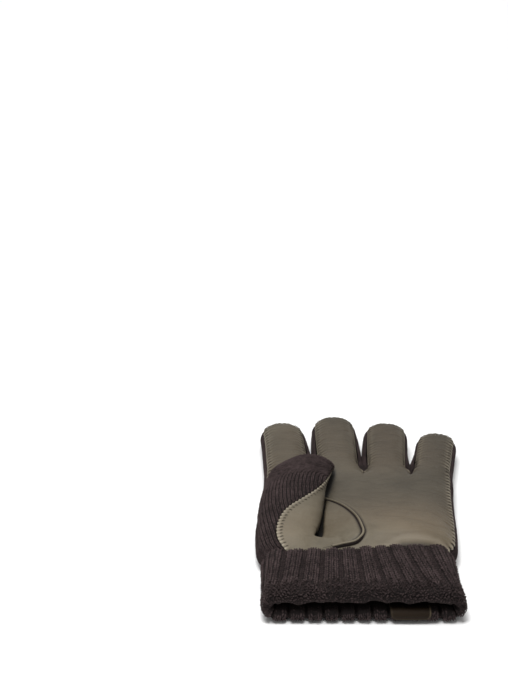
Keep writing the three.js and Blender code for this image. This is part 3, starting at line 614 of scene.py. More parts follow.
# The purl stitches in the rib valleys are the same wool, painted darker as shade.
VALLEY_SHADE_WOOL = wool_material("valley_wool_painted_shade", srgb(18, 13, 14), srgb(50, 41, 41), 0.1)
WOOL_SHADE = wool_material("wool_shade", srgb(14, 11, 11), srgb(24, 19, 19), 0.0)
THREAD = wool_material("seam_thread", srgb(14, 11, 10), srgb(34, 28, 26), 0.1)


def dress(piece, material, slot_name, *nodes):
    """Gives a finished piece its material, its body and the solids that it stands for. slot_name is not
    used.
    """
    piece.data.materials.clear()
    piece.data.materials.append(material)
    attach(piece, "root")
    if nodes:
        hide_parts(*nodes)
    return piece


# Stitches.
def strand(centre, radius, sides=4):
    """A short length of yarn, open underneath, closed to a point at both ends."""
    centre, radius = np.array(centre, float), np.array(radius, float)
    side, up = level_frame(unit(np.gradient(centre, axis=0)))
    angles = np.linspace(-0.35, math.pi + 0.35, sides)
    rings = [centre[k] + radius[k] * (np.cos(angles)[:, None] * side[k] + np.sin(angles)[:, None] * up[k])
             for k in range(1, len(centre) - 1)]
    points = [centre[0], *np.vstack(rings), centre[-1]]
    faces = []
    for r in range(len(rings) - 1):
        for c in range(sides - 1):
            a = 1 + r * sides + c
            faces.append((a, a + sides, a + sides + 1, a + 1))
    last = len(points) - 1
    for c in range(sides - 1):
        faces.append((0, 1 + c, 2 + c))
        a = 1 + (len(rings) - 1) * sides + c
        faces.append((last, a + 1, a))
    return points, faces


def hidden_shape(name, parts):
    """A small mesh that the stitch trees copy. It isn't part of the glove itself."""
    points, faces = [], []
    for part_points, part_faces in parts:
        shift = len(points)
        points += [tuple(p) for p in part_points]
        faces += [tuple(i + shift for i in f) for f in part_faces]
    mesh = bpy.data.meshes.new(name)
    mesh.from_pydata(points, [], faces)
    mesh.polygons.foreach_set("use_smooth", np.ones(len(faces), bool))
    return bpy.data.objects.new(name, mesh)


def knit_leg(side):
    """One half of a knitted stitch, to the left or the right of its middle."""
    return strand([(side * 0.06, -0.6, -0.16), (side * 0.14, -0.34, 0.04), (side * 0.24, 0.04, 0.17),
                   (side * 0.3, 0.4, 0.04), (side * 0.31, 0.62, -0.16)], [0, 0.13, 0.16, 0.13, 0])


KNIT_STITCH = hidden_shape("knit_stitch_shape", [knit_leg(-1), knit_leg(1)])
BEAD_STITCH = hidden_shape("bead_stitch_shape", [
    strand([(x - 0.24, y - 0.1, -0.12), (x - 0.12, y, 0.1), (x, y + 0.04, 0.16), (x + 0.12, y, 0.1),
            (x + 0.24, y - 0.1, -0.12)], [0, 0.13, 0.17, 0.13, 0])
    for x, y in ((-0.26, -0.26), (0.25, 0.0), (-0.2, 0.3))])
SEAM_STITCH = hidden_shape("seam_stitch_shape", [
    strand([(0, -0.62, -0.4), (0.02, -0.4, 0.02), (0.05, 0.0, 0.16), (0.08, 0.4, 0.04), (0.1, 0.62, -0.3)],
           [0, 0.085, 0.095, 0.085, 0])])


def stitch_tree():
    """Copies a stitch to every point, turned to the point's own directions and drawn to its own size."""
    tree = bpy.data.node_groups.new("stitches_on_points", "GeometryNodeTree")
    for key, kind, value in (("Geometry", "NodeSocketGeometry", None), ("Stitch", "NodeSocketObject", None),
                             ("Uneven", "NodeSocketFloat", 0.1), ("Turn", "NodeSocketFloat", 0.1),
                             ("Seed", "NodeSocketInt", SEED), ("Material", "NodeSocketMaterial", None)):
        socket = tree.interface.new_socket(key, in_out="INPUT", socket_type=kind)
        if value is not None:
            socket.default_value = value
    tree.interface.new_socket("Geometry", in_out="OUTPUT", socket_type="NodeSocketGeometry")
    t = Tree(tree)
    given = t.node("NodeGroupInput").outputs

    def named(key):
        return t.node("GeometryNodeInputNamedAttribute", {"Name": key}, data_type="FLOAT_VECTOR").outputs[0]

    def random(low, high, seed):
        """A number of its own for each point. The node keeps its float range in sockets 2 and 3."""
        node = t.node("FunctionNodeRandomValue", {2: low, 3: high, "Seed": seed}, data_type="FLOAT")
        return node.outputs[1]

    axes = {"Primary Axis": named("up"), "Secondary Axis": named("along")}
    turn = t.node("FunctionNodeAxesToRotation", axes, primary_axis="Z", secondary_axis="Y").outputs[0]
    sway = random(t.math("SUBTRACT", 0.0, given["Turn"]), given["Turn"], given["Seed"])
    angles = t.node("ShaderNodeCombineXYZ", {"Z": sway}).outputs[0]
    swung = t.node("FunctionNodeRotateRotation", {"Rotation": turn, "Rotate By": angles},
                   rotation_space="LOCAL")
    low, high = (t.math(way, 1.0, given["Uneven"]) for way in ("SUBTRACT", "ADD"))
    grow = random(low, high, t.math("ADD", given["Seed"], 5))
    size = t.node("ShaderNodeVectorMath", {0: named("size"), "Scale": grow}, operation="SCALE")
    shape = t.node("GeometryNodeObjectInfo", {"Object": given["Stitch"]}).outputs["Geometry"]
    copies = t.node("GeometryNodeInstanceOnPoints", {"Points": given["Geometry"], "Instance": shape,
                                                     "Rotation": swung.outputs[0], "Scale": size.outputs[0]})
    real = t.node("GeometryNodeRealizeInstances", {"Geometry": copies.outputs[0]}).outputs[0]
    finished = t.node("GeometryNodeSetMaterial", {"Geometry": real, "Material": given["Material"]})
    t.link(finished.outputs[0], t.node("NodeGroupOutput").inputs["Geometry"])
    return tree


STITCH_TREE = stitch_tree()


def sew(name, shape, places, material, slot_name, nodes, uneven=0.1, turn=0.1):
    """Puts a stitch on each place and returns one plain mesh. places: points, up, along and size."""
    points, up, along, size = places
    carrier = mesh_object(name + "_places", points, [], {"up": up, "along": along, "size": size / 1000})
    modifier = carrier.modifiers.new("stitches", "NODES")
    modifier.node_group = STITCH_TREE
    sockets = {s.name: s.identifier for s in STITCH_TREE.interface.items_tree if s.in_out == "INPUT"}
    for key, value in (("Stitch", shape), ("Uneven", uneven), ("Turn", turn), ("Seed", SEED),
                       ("Material", material)):
        modifier[sockets[key]] = value
    graph = bpy.context.evaluated_depsgraph_get()
    mesh = bpy.data.meshes.new_from_object(carrier.evaluated_get(graph))
    carrier.modifiers.remove(modifier)
    bpy.data.objects.remove(carrier)
    piece = bpy.data.objects.new(name, mesh)
    piece.data.name = name
    bpy.context.scene.collection.objects.link(piece)
    for key in ("up", "along", "size"):
        if key in mesh.attributes:
            mesh.attributes.remove(mesh.attributes[key])
    return dress(piece, material, slot_name, *nodes)


def join_places(*sets):
    return tuple(np.vstack([s[k] for s in sets]) for k in range(4))


def knit_places(grid, wale=WALE, course=COURSE, lift=0.0, thickness=1.0, outward=1.0, slim=1.0, tall_by=1.0,
                parallel=False):
    """Stitch places on a grid of points whose rows are courses, from wrist to tip, and columns are wales.
    slim narrows the stitches, so that dark gaps part the wales, and tall_by lets the courses run together.
    parallel wales keep their width and end where the grid narrows."""
    run = run_along(grid, axis=1)
    span = run[:, -1]
    if parallel:
        span = np.full(len(grid), span.max())
    count = max(2, int(round(np.percentile(span, 75) / wale)))
    shares = np.arange(2 * count + 1) / (2 * count)
    lines = np.empty((len(grid), len(shares), 3))
    for r in range(len(grid)):
        lines[r] = points_at(shares * span[r], run[r], grid[r])
    climb = run_along(lines[:, count])
    numbers = np.arange(len(grid))
    rows = np.interp(np.arange(0.5 * course, climb[-1], course), climb, numbers)
    points, ups, alongs, sizes = [], [], [], []
    half_row = np.gradient(rows) / 2
    for w in range(count):
        line, left, right = lines[:, 2 * w + 1], lines[:, 2 * w], lines[:, 2 * w + 2]
        spot = points_at(rows, numbers, line)
        along = points_at(rows + half_row, numbers, line) - points_at(rows - half_row, numbers, line)
        across = points_at(rows, numbers, right) - points_at(rows, numbers, left)
        up = np.cross(across, along) * outward
        tall, wide = np.linalg.norm(along, axis=1), np.linalg.norm(across, axis=1)
        size = np.linalg.norm(up, axis=1)
        good = (wide > 0.35 * wale) & (tall > 0.3 * course) & (size > 1e-6)
        up = unit(up)
        points.append((spot + up * lift)[good])
        ups.append(up[good])
        alongs.append(unit(along)[good])
        stitch = np.stack([wide * slim, tall * tall_by, np.full(len(wide), wale * thickness)], axis=1)
        sizes.append(stitch[good])
    return np.vstack(points), np.vstack(ups), np.vstack(alongs), np.vstack(sizes)


# Leather palm.
def edge_of(grid, side):
    """A side of a grid of points: its line, the way in, the way up, and the line a little way in."""
    columns = (0, 3, 6) if side == 0 else (-1, -4, -7)
    edge, over, far = (grid[:, c] for c in columns)
    return np.stack([edge, far - edge, normals_of(grid)[:, columns[1]], over])


def thumb_shadow(points):
    """How dark the palm is under the edge of the thumb that lies over it, from 0 to 1."""
    edge = np.interp(points[..., 1], THUMB[4:8, 2], THUMB[4:8, 1] + THUMB[4:8, HALF])
    beyond = points[..., 0] - edge
    here = smooth((points[..., 1] - 100) / 8) * (1 - smooth((points[..., 1] - 146) / 8))
    return 0.95 * here * (1 - smooth((beyond + 0.6) / 2.6)) * smooth((beyond + 9) / 4)


def cuff_crease(points):
    """Where the palm rises out of the cuff: the y of the soft fold across it, which is shown by painted
    shade and a painted highlight.
    """
    return np.interp(points[..., 0], [-60, -4, 8, 20, 40, 50], [48.5, 49, 50.5, 54.6, 54.6, 51])


def creases(points, seed):
    """Thin winding creases, mostly across the hand, between 0 and 1."""
    wide = 1 - np.abs(soft_noise(points * (0.42, 1.0, 1.0), 13, seed))
    fine = 1 - np.abs(soft_noise(points * (0.6, 1.3, 1.0), 7, seed + 1))
    return 0.7 * wide ** 9 + 0.4 * fine ** 9


def palm_seams(grids):
    """The seam round the palm and the fingers, and the palm's edge in the curved seam beside the thumb."""
    hand, rest = grids[0], grids[1:]
    first = int(np.argmax(hand[:, 0, 1] >= PALM_LINE_END))
    edges = [edge_of(hand, 0)[:, first:]]
    for grid in rest:
        edges += [edge_of(grid, 0)[:, 1:-4], edge_of(grid, -1)[:, ::-1][:, 4:-1]]
    edges.append(edge_of(hand, -1)[:, ::-1])
    edge, inward, up, over = np.concatenate(edges, axis=1)
    arc = hand[: first + 1, 0]
    upright = np.tile((0, 0, 1.0), (len(arc), 1))
    return Seam(edge, inward, up, over, seed=1), Seam(arc, hand[: first + 1, 1] - arc, upright, seed=2)


def worked_leather(grid, seam, arc_seam, pucker_length):
    """The palm's leather with its waves and creases, drawn in along its seams. Returns the points, their
    painted highlight on ridges and their painted shade in folds, valleys and hollows. Waves and creases fade
    out towards the seams."""
    normals = normals_of(grid)
    normals[np.linalg.norm(normals, axis=2) < 0.5] = (0, 0, 1)
    waves = 0.42 * soft_noise(grid, 17, 1) + 0.16 * soft_noise(grid * (0.5, 1.6, 1), 6, 2)
    arc_away = arc_seam.near(grid)[0]
    calm = smooth(seam.near(grid)[0] / 5) * smooth(arc_away / 5)
    grid = grid + normals * (waves * calm)[..., None]
    folds = creases(grid, 21)
    grid = grid - normals * (0.32 * folds * calm)[..., None]
    grid, valley, ridge = seam.pucker(grid, normals, length=pucker_length)
    grid[..., 2] -= 0.7 * np.exp(-(arc_away / 1.1) ** 2)

    # Painted shade lies in the pucker valleys, in the creases, beside the curved seam and in the hollow
    # behind the cuff, and a painted highlight lies on the fold in front of it.
    from_cuff = grid[..., 1] - cuff_crease(grid)
    shade = np.maximum(0.9 * valley ** 1.2, 0.85 * np.exp(-(arc_away / 0.7) ** 2))
    shade = np.maximum(shade, 0.16 * folds * calm)
    shade = np.maximum(shade, 0.7 * (1 - smooth((from_cuff + 2.4) / 2.6)))
    fold = np.exp(-((from_cuff - 1.4) / 1.5) ** 2) * smooth((grid[..., 0] - 4) / 12)
    return grid, np.maximum(ridge, 0.3 * fold), np.maximum(shade, thumb_shadow(grid))


def leather_palm():
    """The leather of the palm and the fingers. Returns the seam round it."""
    palm, fingers = hand_grids(columns=44, step=0.62, inset=SEAM_INSET, beside_thumb=True)
    heights = [palm_top(palm)] + [finger_height(f["number"], f["across"], f["run"]) for f in fingers]
    grids = [deepen_notches(stack(plan["x"], plan["y"], height + SEAM_GAP / 2))
             for plan, height in zip((palm, *fingers), heights)]
    seam, arc_seam = palm_seams(grids)
    patches = Patches()
    for number, grid in enumerate(grids):
        points, ridge, shade = worked_leather(grid, seam, arc_seam, 3.2 if number == 0 else 5.0)
        patches.add(points, ridge=ridge, shade=shade)
    dress(patches.build("palm_leather_skin", weld=0.02), PALM_LEATHER, "leather", "palm_leather")
    return seam


hand_seam = leather_palm()


# Knitted back.
def hand_base(y):
    """The height of the back above the floor, where it leaves the cuff."""
    return np.maximum(0, read(HAND, BASE, y))


# How far the wool swells into a gap between two fingers, by the run from their root.
LONG_GAP = ([0, 3, 16, 24, 36, 50, 62], [0, 1.35, 1.9, 1.7, 1.3, 0.8, 0])
SHORT_GAP = ([0, 3, 12, 20, 30], [0, 1.35, 1.6, 0.8, 0])
GAP_WOOL = {0: LONG_GAP, 1: LONG_GAP, 2: SHORT_GAP}


def gap_wool(gap, run):
    """The swelling in a gap. Gap 0 is the one beside the index, and the hand's own sides have none."""
    return np.interp(run, *GAP_WOOL[gap]) if gap in GAP_WOOL else 0 * run


def side_ribbon(palm, fingers):
    """The hand's outline in order, up the thumb side, round each finger and down: x, y and the swelling."""
    parts = [np.stack([palm["x"][:, 0], palm["y"][:, 0], 0 * palm["x"][:, 0]], 1)]
    for f in fingers:
        left, right = gap_wool(f["number"] - 1, f["run"][:, 0]), gap_wool(f["number"], f["run"][:, 0])
        parts += [np.stack([f["x"][:, 0], f["y"][:, 0], left], 1)[1:],
                  np.stack([f["x"][:, -1], f["y"][:, -1], right], 1)[::-1][1:-1]]
    parts.append(np.stack([palm["x"][:, -1], palm["y"][:, -1], 0 * palm["x"][:, -1]], 1)[::-1])
    return np.vstack(parts)


def wool_plan(inset):
    return hand_grids(columns=10, step=1.5, inset=inset, beside_thumb=False)


def knitted_back():
    """The shaded ground under the stitches of the back and the sides. Returns the back's floors, and the
    places of the sides' stitches."""
    sunk, lowest = 0.55, 0.4
    patches = Patches()
    angles = np.radians(np.linspace(50, -90, 22))
    insets = SIDE_REACH * (1 - np.cos(angles))
    levels, webs = [], []
    for angle, inset in zip(angles, insets):
        plan = side_ribbon(*wool_plan(inset))
        low = hand_base(plan[:, 1])
        bend = math.sin(angle) * (SIDE_RISE if angle > 0 else SIDE_MIDDLE)
        z = low + (SIDE_MIDDLE + bend) * (SEAM_HEIGHT - low) / SEAM_HEIGHT - SEAM_GAP / 2
        levels.append(stack(plan[:, 0], plan[:, 1], z))
        webs.append(plan[:, 2] * smooth(math.cos(angle) / 0.5))
    sides = np.stack(levels)
    out = normals_of(sides)
    sides = sides + out * np.stack(webs)[..., None]
    sides[..., 2] = np.maximum(sides[..., 2], lowest)
    patches.add(sides - out * sunk)
    palm, fingers = wool_plan(SIDE_REACH)
    floors = [stack(g["x"], g["y"], hand_base(g["y"])) for g in (palm, *fingers)]
    for floor in floors:
        patches.add(floor + (0, 0, sunk), flip=True)
    dress(patches.build("back_knit_skin"), WOOL_SHADE, "wool_knit", "back_knit")
    return floors, knit_places(sides.transpose(1, 0, 2), lift=-0.3, thickness=0.8, outward=-1)


floors, side_places = knitted_back()


def finger_webs():
    """The wool between the fingers, seen in the leather's notches."""
    webs, skin = [], Patches()
    for n, (nx, ny) in enumerate(ROOTS[1:4]):
        u, run = np.meshgrid(np.linspace(-1, 1, 13), np.linspace(-12, 24, 36))
        lean = (finger_axis(n)[2] + finger_axis(n + 1)[2]) / 2
        half = np.interp(run, [-12, -8, 0, 10, 24], [2.5, 5.0, 4.6, 4.0, 4.2])   # its width fills the gap
        x = nx + lean[0] / lean[1] * run + u * half
        z = np.interp(run, [-12, -6, 0, 8, 15, 20, 24], [12.8, 12.6, 12.0, 10.2, 7.2, 4.0, 0.8])
        web = stack(x, ny + run, z + 0.8 * u * u)
        skin.add(web - (0, 0, 0.4))
        webs.append(knit_places(web, wale=1.8, lift=-0.2, thickness=0.8))
    dress(skin.build("finger_web_skin"), WOOL_SHADE, "wool_knit", "back_knit")
    # The web's stitches are painted dark as the shade in the notches.
    sew("finger_web_stitches", KNIT_STITCH, join_places(*webs), WEB_SHADE_WOOL, "wool_knit", ["back_knit"])


finger_webs()

# The floors' rows are mirrored, so that their stitches face down.
floor_places = [knit_places(floor[:, ::-1], lift=-0.65, thickness=0.8) for floor in floors]
for name, places in (("side_stitches", side_places), ("back_stitches", floor_places[0]),
                     ("finger_back_stitches", join_places(*floor_places[1:]))):
    sew(name, KNIT_STITCH, places, KNIT_WOOL, "wool_knit", ["back_knit"])


# Thumb.
def thumb_section(place):
    """The thumb's sections at some places, each place a row of one column."""
    at = np.minimum(place, THUMB_LAST)
    closing = crown(clamp01(place - THUMB_LAST), 2.4)
    share = place / len(THUMB)
    across, up = level_frame(direction(THUMB_AXIS, share))
    roll = np.radians(read(THUMB, ROLL, at))[:, None]
    section = {key: read(THUMB, key, at)[:, None] for key in (FAR, SEAM, FOLD, SIDE, SEWN)}
    section["centre"] = through(THUMB_AXIS, share)[:, None]
    section["wide"] = (across * np.cos(roll) + up * np.sin(roll))[:, None]
    section["high"] = (up * np.cos(roll) - across * np.sin(roll))[:, None]
    section["half"] = (read(THUMB, HALF, at) * closing)[:, None]
    section["thick"] = (read(THUMB, THICK, at) * closing)[:, None]
    return section


def thumb_ring(s, degrees):
    """Points of the thumb's sections at some angles."""
    angle = np.radians(degrees)
    return (s["centre"] + s["wide"] * (s["half"] * np.cos(angle))[..., None]
            + s["high"] * (s["thick"] * np.sin(angle))[..., None])


def thumb_grid(place, t):
    """Points of the thumb for rows of places and columns of t: wool for t from 0 to 1, the leather's round
    part up to its fold, and from there the rest, tied to the curved seam at first and free further on."""
    t = t[None, :]
    s = thumb_section(place)
    ease = (1 - smooth((place - THUMB_FREE) / THUMB_EASE))[:, None]
    wool_edge = stack(read(HAND, LEFT, s[SIDE]) + SEAM_INSET, s[SIDE], SEAM_HEIGHT + SEAM_GAP)
    pull = (wool_edge - thumb_ring(s, s[FAR])) * ease[..., None]
    wool = thumb_ring(s, mix(s[FAR], s[SEAM], t)) + pull * (clamp01(1 - t) ** 2)[..., None]
    round_part = thumb_ring(s, mix(s[SEAM], s[FOLD], (t - 1) / (FOLD_PLACE - 1)))
    out = clamp01((t - FOLD_PLACE) / (2 - FOLD_PLACE))
    free = thumb_ring(s, mix(s[FOLD], s[FAR] - 360, out))
    free = free + stack((KNIT_WALL + SEAM_GAP) * ease * np.sqrt(out), 0, -EDGE_STEP * ease * out)
    free = free + pull * (out * out)[..., None]
    share = clamp01(seam_share(s[SEWN][:, 0]))
    beside = beside_seam(share, -SEAM_CLEAR)
    sewn = stack(beside[:, 0], beside[:, 1], palm_height(beside[:, 0], beside[:, 1]))[:, None]
    tied = mix(thumb_ring(s, s[FOLD]), sewn, out[..., None])
    tied[..., 2] += 4 * (out * (1 - out))[0] * FOLD_CROWN
    last = np.where((place >= THUMB_FREE)[:, None, None], free, tied)
    return np.where((t <= 1)[..., None], wool, np.where((t <= FOLD_PLACE)[..., None], round_part, last))


def seam_share(sewn):
    """The share of the curved seam for a number that counts the points of the seam in the part's source."""
    return np.interp(sewn, [0, 2, 3, 8], [0, 3, 4, 9]) / (len(THUMB_SEAM) - 1)


def thumb_places(step):
    """Places along the thumb, closer together round its tip."""
    before = np.linspace(0, THUMB_LAST, int(118 / step))
    end = THUMB_LAST + np.sin(np.linspace(0, math.pi / 2, int(20 / step)))
    return np.concatenate([before, end[1:]])


# The slit between the thumb's leather and the palm, by places along the thumb.
SLIT_WIDTH = ([2.6, 3.0, 3.6, 4.6, 5.2], [3.0, 2.3, 1.4, 0.9, 0.5])
SLIT_ASIDE = ([1.9, 2.3, 2.6, 3.2, 4.0, 4.8], [0, 5.2, 6.6, 4.6, 2.0, 0])   # how far it bows to the thumb
SLIT_SHADE = ([2.2, 2.7, 3.1, 3.6, 5.0], [2.8, 2.5, 1.4, 0.8, 0.6])   # how wide its dark inside shows
SLIT_START, SLIT_ROUND = 2.7, 0.42   # the middle of its round lower end, and how long that is
SLIT_DEPTH, SLIT_FLOOR = 8.0, 4.2


def bridged_fold(leather, run):
    """The thumb's leather led smoothly across its fold, as it is below the slit."""
    bridged = leather.copy()
    for r in range(len(leather)):
        a, b = (int(np.argmin(np.abs(run[r] - reach))) for reach in (-13.0, 13.0))
        a, b = max(a, 2), min(b, leather.shape[1] - 2)
        start, end = leather[r, a], leather[r, b]
        span = np.linalg.norm(end - start)
        out = leather[r, a] - leather[r, a - 2]
        back = leather[r, b + 1] - leather[r, b - 1]
        out, back = (v / max(np.linalg.norm(v), 1e-6) * span * 0.8 for v in (out, back))
        w = ((run[r, a:b + 1] - run[r, a]) / (run[r, b] - run[r, a]))[:, None]
        w2, w3 = w * w, w * w * w
        bridged[r, a:b + 1] = ((2 * w3 - 3 * w2 + 1) * start + (w3 - 2 * w2 + w) * out
                               + (3 * w2 - 2 * w3) * end + (w3 - w2) * back)
    return bridged


def thumb_slit(leather, places, t):
    """Below its end the leather runs on smoothly from the thumb to the palm, and above it a deep groove
    parts them. Returns the leather, and the painted shade of the slit."""
    fold = int(np.argmin(np.abs(t - FOLD_PLACE)))
    run = run_along(leather, axis=1)
    run -= run[:, fold:fold + 1]

    # Below the slit the leather is closed, and beside the slit it bows to the thumb.
    closed = 1 - smooth((places - 2.0) / 0.45)
    leather = mix(leather, bridged_fold(leather, run), closed[:, None, None])
    aside = np.interp(places, *SLIT_ASIDE)[:, None]
    leather[..., 0] -= aside * np.exp(-((run + 1.5) / 5) ** 2)

    # The groove.
    depth = SLIT_DEPTH * smooth((places - 2.3) / 0.6)
    end = np.sqrt(clamp01(1 - (np.minimum(places, SLIT_START) - SLIT_START) ** 2 / SLIT_ROUND ** 2))
    width = np.maximum(0.05, end * np.interp(places, *SLIT_WIDTH))
    groove = np.exp(-np.abs(run / width[:, None]) ** 3) * depth[:, None]
    groove = groove * (places < THUMB_FREE)[:, None]
    leather[..., 2] = np.maximum(leather[..., 2] - groove, np.minimum(leather[..., 2], 4.5))

    # Past the thumb's rim the leather is painted dark as the slit's shade, and it sinks under the thumb.
    rim = np.argmax(leather[:, 8:fold + 1, 0], axis=1) + 8
    rim[places < 2.42] = rim[np.argmax(places >= 2.42)]
    beyond = leather[..., 0] - np.take_along_axis(leather[..., 0], rim[:, None], axis=1)
    wide = (end * np.interp(places, *SLIT_SHADE))[:, None]
    past = np.arange(len(t))[None, :] - rim[:, None]
    open_here = smooth((places - 2.28) / 0.08)[:, None] * (places < THUMB_FREE + 0.4)[:, None]
    dark = open_here * smooth(past / 3) * (1 - smooth((beyond - wide) / 1.2))
    sink = 3.0 * smooth((places - 2.4) / 0.5) * (places < 4.2)
    leather[..., 2] -= sink[:, None] * dark * (past > 0)
    leather[..., 2] = np.maximum(leather[..., 2], SLIT_FLOOR)
    return leather, 0.97 * dark


def thumb_wool(places):
    """The knitted outer side of the thumb, which covers its tip."""
    wool = thumb_grid(places, np.linspace(0.006, 0.994, 40))
    skin = Patches()
    skin.add(wool - normals_of(wool) * 0.45)
    dress(skin.build("thumb_knit_skin"), WOOL_SHADE, "wool_knit", "thumb_knit")
    sew("thumb_stitches", KNIT_STITCH,
        knit_places(wool, wale=2.3, course=2.2, lift=-0.2, slim=0.8, tall_by=1.35, parallel=True),
        KNIT_WOOL, "wool_knit", ["thumb_knit"], 0.2, 0.12)


def thumb_leather(places):
    """The leather inner side of the thumb with the half-moon. Returns its seam to the thumb's wool."""
    t = np.concatenate([np.linspace(1.006, FOLD_PLACE, 46), np.linspace(FOLD_PLACE, 1.994, 40)[1:]])
    leather = thumb_grid(places, t)
    flat = np.linalg.norm(normals_of(leather), axis=2) < 0.5
    leather, shade = thumb_slit(leather, places, t)
    normals = normals_of(leather)
    normals[flat] = (0, 0, 1)
    edge, inward, up, over = edge_of(leather, 0)[:, :-6]
    seam = Seam(edge, inward, up, over, pitch=2.7, seed=3)
    outer = leather[places < THUMB_FREE, -1]
    arc = Seam(outer, leather[places < THUMB_FREE, -3] - outer, normals[places < THUMB_FREE, -2], seed=4)
    away, arc_away = seam.near(leather)[0], arc.near(leather)[0]
    waves = 0.35 * soft_noise(leather, 12, 4) + 0.14 * soft_noise(leather, 4, 5)
    waves = waves - 0.28 * creases(leather, 31)
    leather = leather + normals * (waves * smooth(away / 4) * smooth(arc_away / 4))[..., None]
    low = np.exp(-((leather[..., 1] - 58) / 14) ** 2)
    leather, valley, ridge = seam.pucker(leather, normals, 0.6, 0.5, 0.4, length=1.3 + 1.2 * low)
    leather[..., 2] -= 0.7 * np.exp(-(arc_away / 1.1) ** 2)
    # Painted shade in the pucker valleys and beside the curved seam.
    shade = np.maximum(shade, np.maximum(0.6 * valley ** 1.5, 0.85 * np.exp(-(arc_away / 0.7) ** 2)))
    skin = Patches()
    skin.add(leather, ridge=ridge, shade=shade)
    dress(skin.build("thumb_leather_skin"), PALM_LEATHER, "leather", "thumb_leather")
    return seam


thumb_rows = thumb_places(0.7)
thumb_wool(thumb_rows)
thumb_seam = thumb_leather(thumb_rows)


# Seams sewn with thread.
def whip_places(seam, length, above):
    """Places of the threads whipped over a seam, for its part beyond the cuff, above a given y."""
    points, inward, up = seam.stitches()
    kept = points[:, 1] > above
    points, inward, up = points[kept], inward[kept], up[kept]
    size = np.tile((length, length, length * 0.8), (len(points), 1)).astype(float)
    return points + up * 0.12, up, inward, size


for name, seam, length, above, node, turn in (
        ("hand_seam_thread", hand_seam, 2.7, 52, "back_knit", 0.3),
        ("thumb_seam_thread", thumb_seam, 1.6, 50, "thumb_knit", 0.35)):
    sew(name, SEAM_STITCH, whip_places(seam, length, above), THREAD, "wool_knit", [node], 0.2, turn)


def tube(name, line, radius, sides):
    """A round strip along a line of points."""
    side, up = level_frame(unit(np.gradient(line, axis=0)))
    angles = np.linspace(0, 2 * math.pi, sides, endpoint=False)[None, :, None]
    radius = np.broadcast_to(radius, len(line))[:, None, None]
    round_line = np.cos(angles) * side[:, None] + np.sin(angles) * up[:, None]
    patches = Patches()
    patches.add(line[:, None] + radius * round_line, closed=True)
    return patches.build(name)


def seam_welt():
    """The rolled welt in the curved seam, and the dark bed that it lies in, which stands for its thread and
    for painted shade on both sides of the welt.
    """
    shares = np.linspace(WELT_FROM, WELT_TO, 260)
    plan = beside_seam(shares, 0.0)
    height = palm_height(plan[:, 0], plan[:, 1])
    line = stack(plan[:, 0], plan[:, 1], height - 0.25 + 0.5 * (1 - smooth((shares - 0.24) / 0.1)))
    ripple = 0.66 + 0.04 * np.sin(np.arange(len(line)) * 0.9)
    piece = tube("thumb_welt_strip", line, ripple, 10)
    dress(piece, WELT_HIGHLIGHT_LEATHER, "welt_leather", "thumb_welt")
    # The bed is thread-coloured: the seam's thread, and painted shade in the gaps beside the welt.
    bed = tube("thumb_welt_bed", line - (0, 0, 1.15), 1.4, 8)
    dress(bed, THREAD, "wool_knit", "thumb_welt")


seam_welt()


# Ribbed cuff.
def bezier(points, count=48):
    """A curve that leaves its first point towards the second and comes into its last from the third."""
    t = np.linspace(0, 1, count)[:, None]
    a, b, c, d = (np.array(p, float) for p in points)
    return (1 - t) ** 3 * a + 3 * (1 - t) ** 2 * t * b + 3 * (1 - t) * t * t * c + t ** 3 * d


def arch(points, count=48):
    """A curve from the first point to the last, drawn towards the middle one."""
    t = np.linspace(0, 1, count)[:, None]
    a, b, c = (np.array(p, float) for p in points)
    return (1 - t) ** 2 * a + 2 * (1 - t) * t * b + t * t * c


def cuff_ring(y, shares):
    """Points and outward directions round the cuff at y, in the plane of X and Z."""
    half, top = read(CUFF, 2, y) - RIB_DEPTH, read(CUFF, 3, y) - RIB_DEPTH
    bottom, middle = RIB_DEPTH, read(CUFF, 1, y)
    flat = half - CUFF_SIDE
    side, waist, shoulder = flat + CUFF_SIDE * 0.6, (top + bottom) / 2 - 0.8, top - CUFF_SHOULDER
    right = [np.array([(0, bottom), (flat, bottom)]),
             bezier([(flat, bottom), (side, bottom), (half, waist - 4), (half, waist)]),
             bezier([(half, waist), (half, waist + 4), (side, shoulder - 0.5), (flat, shoulder)]),
             arch([(flat, shoulder), (flat / 2, top), (0, top)])]
    right = np.vstack([part if k == 0 else part[1:] for k, part in enumerate(right)])
    whole = np.vstack([right, (right * (-1, 1))[::-1][1:]])
    run = run_along(whole)

    def at(s):
        stretched = s - RIB_CROWD / (2 * math.pi) * np.sin(2 * math.pi * s)
        return points_at((stretched % 1) * run[-1], run, whole)

    ahead = unit(at(shares + 0.0025) - at(shares - 0.0025))
    return at(shares) + (middle, 0), np.stack([ahead[:, 1], -ahead[:, 0]], axis=1)


def cuff_wave(share):
    """The ribs: broad crests, a little split between their three wales, and narrow valleys."""
    turn = 2 * math.pi * RIBS * share
    crest = np.tanh(1.7 * (np.cos(turn) + 0.55)) / math.tanh(2.38)
    return crest - 0.2 * np.exp(-((np.abs(np.sin(turn / 2)) - 0.4) / 0.14) ** 2)


def cuff_lump(share):
    """The ribs of the lower layer at the mouth: fat rolls with narrow gaps between them."""
    return 0.7 - 1.9 * np.exp(-(np.cos(math.pi * RIBS * share) / 0.4) ** 2)


# Where ribs lean in towards the middle of the upper side: the share round the cuff, the reach, and how far.
LEANING = ((0.36, 0.10, 0.036), (0.65, 0.10, -0.023))


def cuff_fan(share, y):
    """How far the ribs lean, more and more as they run up to the free edge."""
    lean = sum(amount * np.exp(-((share - middle) / reach) ** 2) for middle, reach, amount in LEANING)
    return lean * np.clip(y, 0, CUFF_FREE) / CUFF_FREE


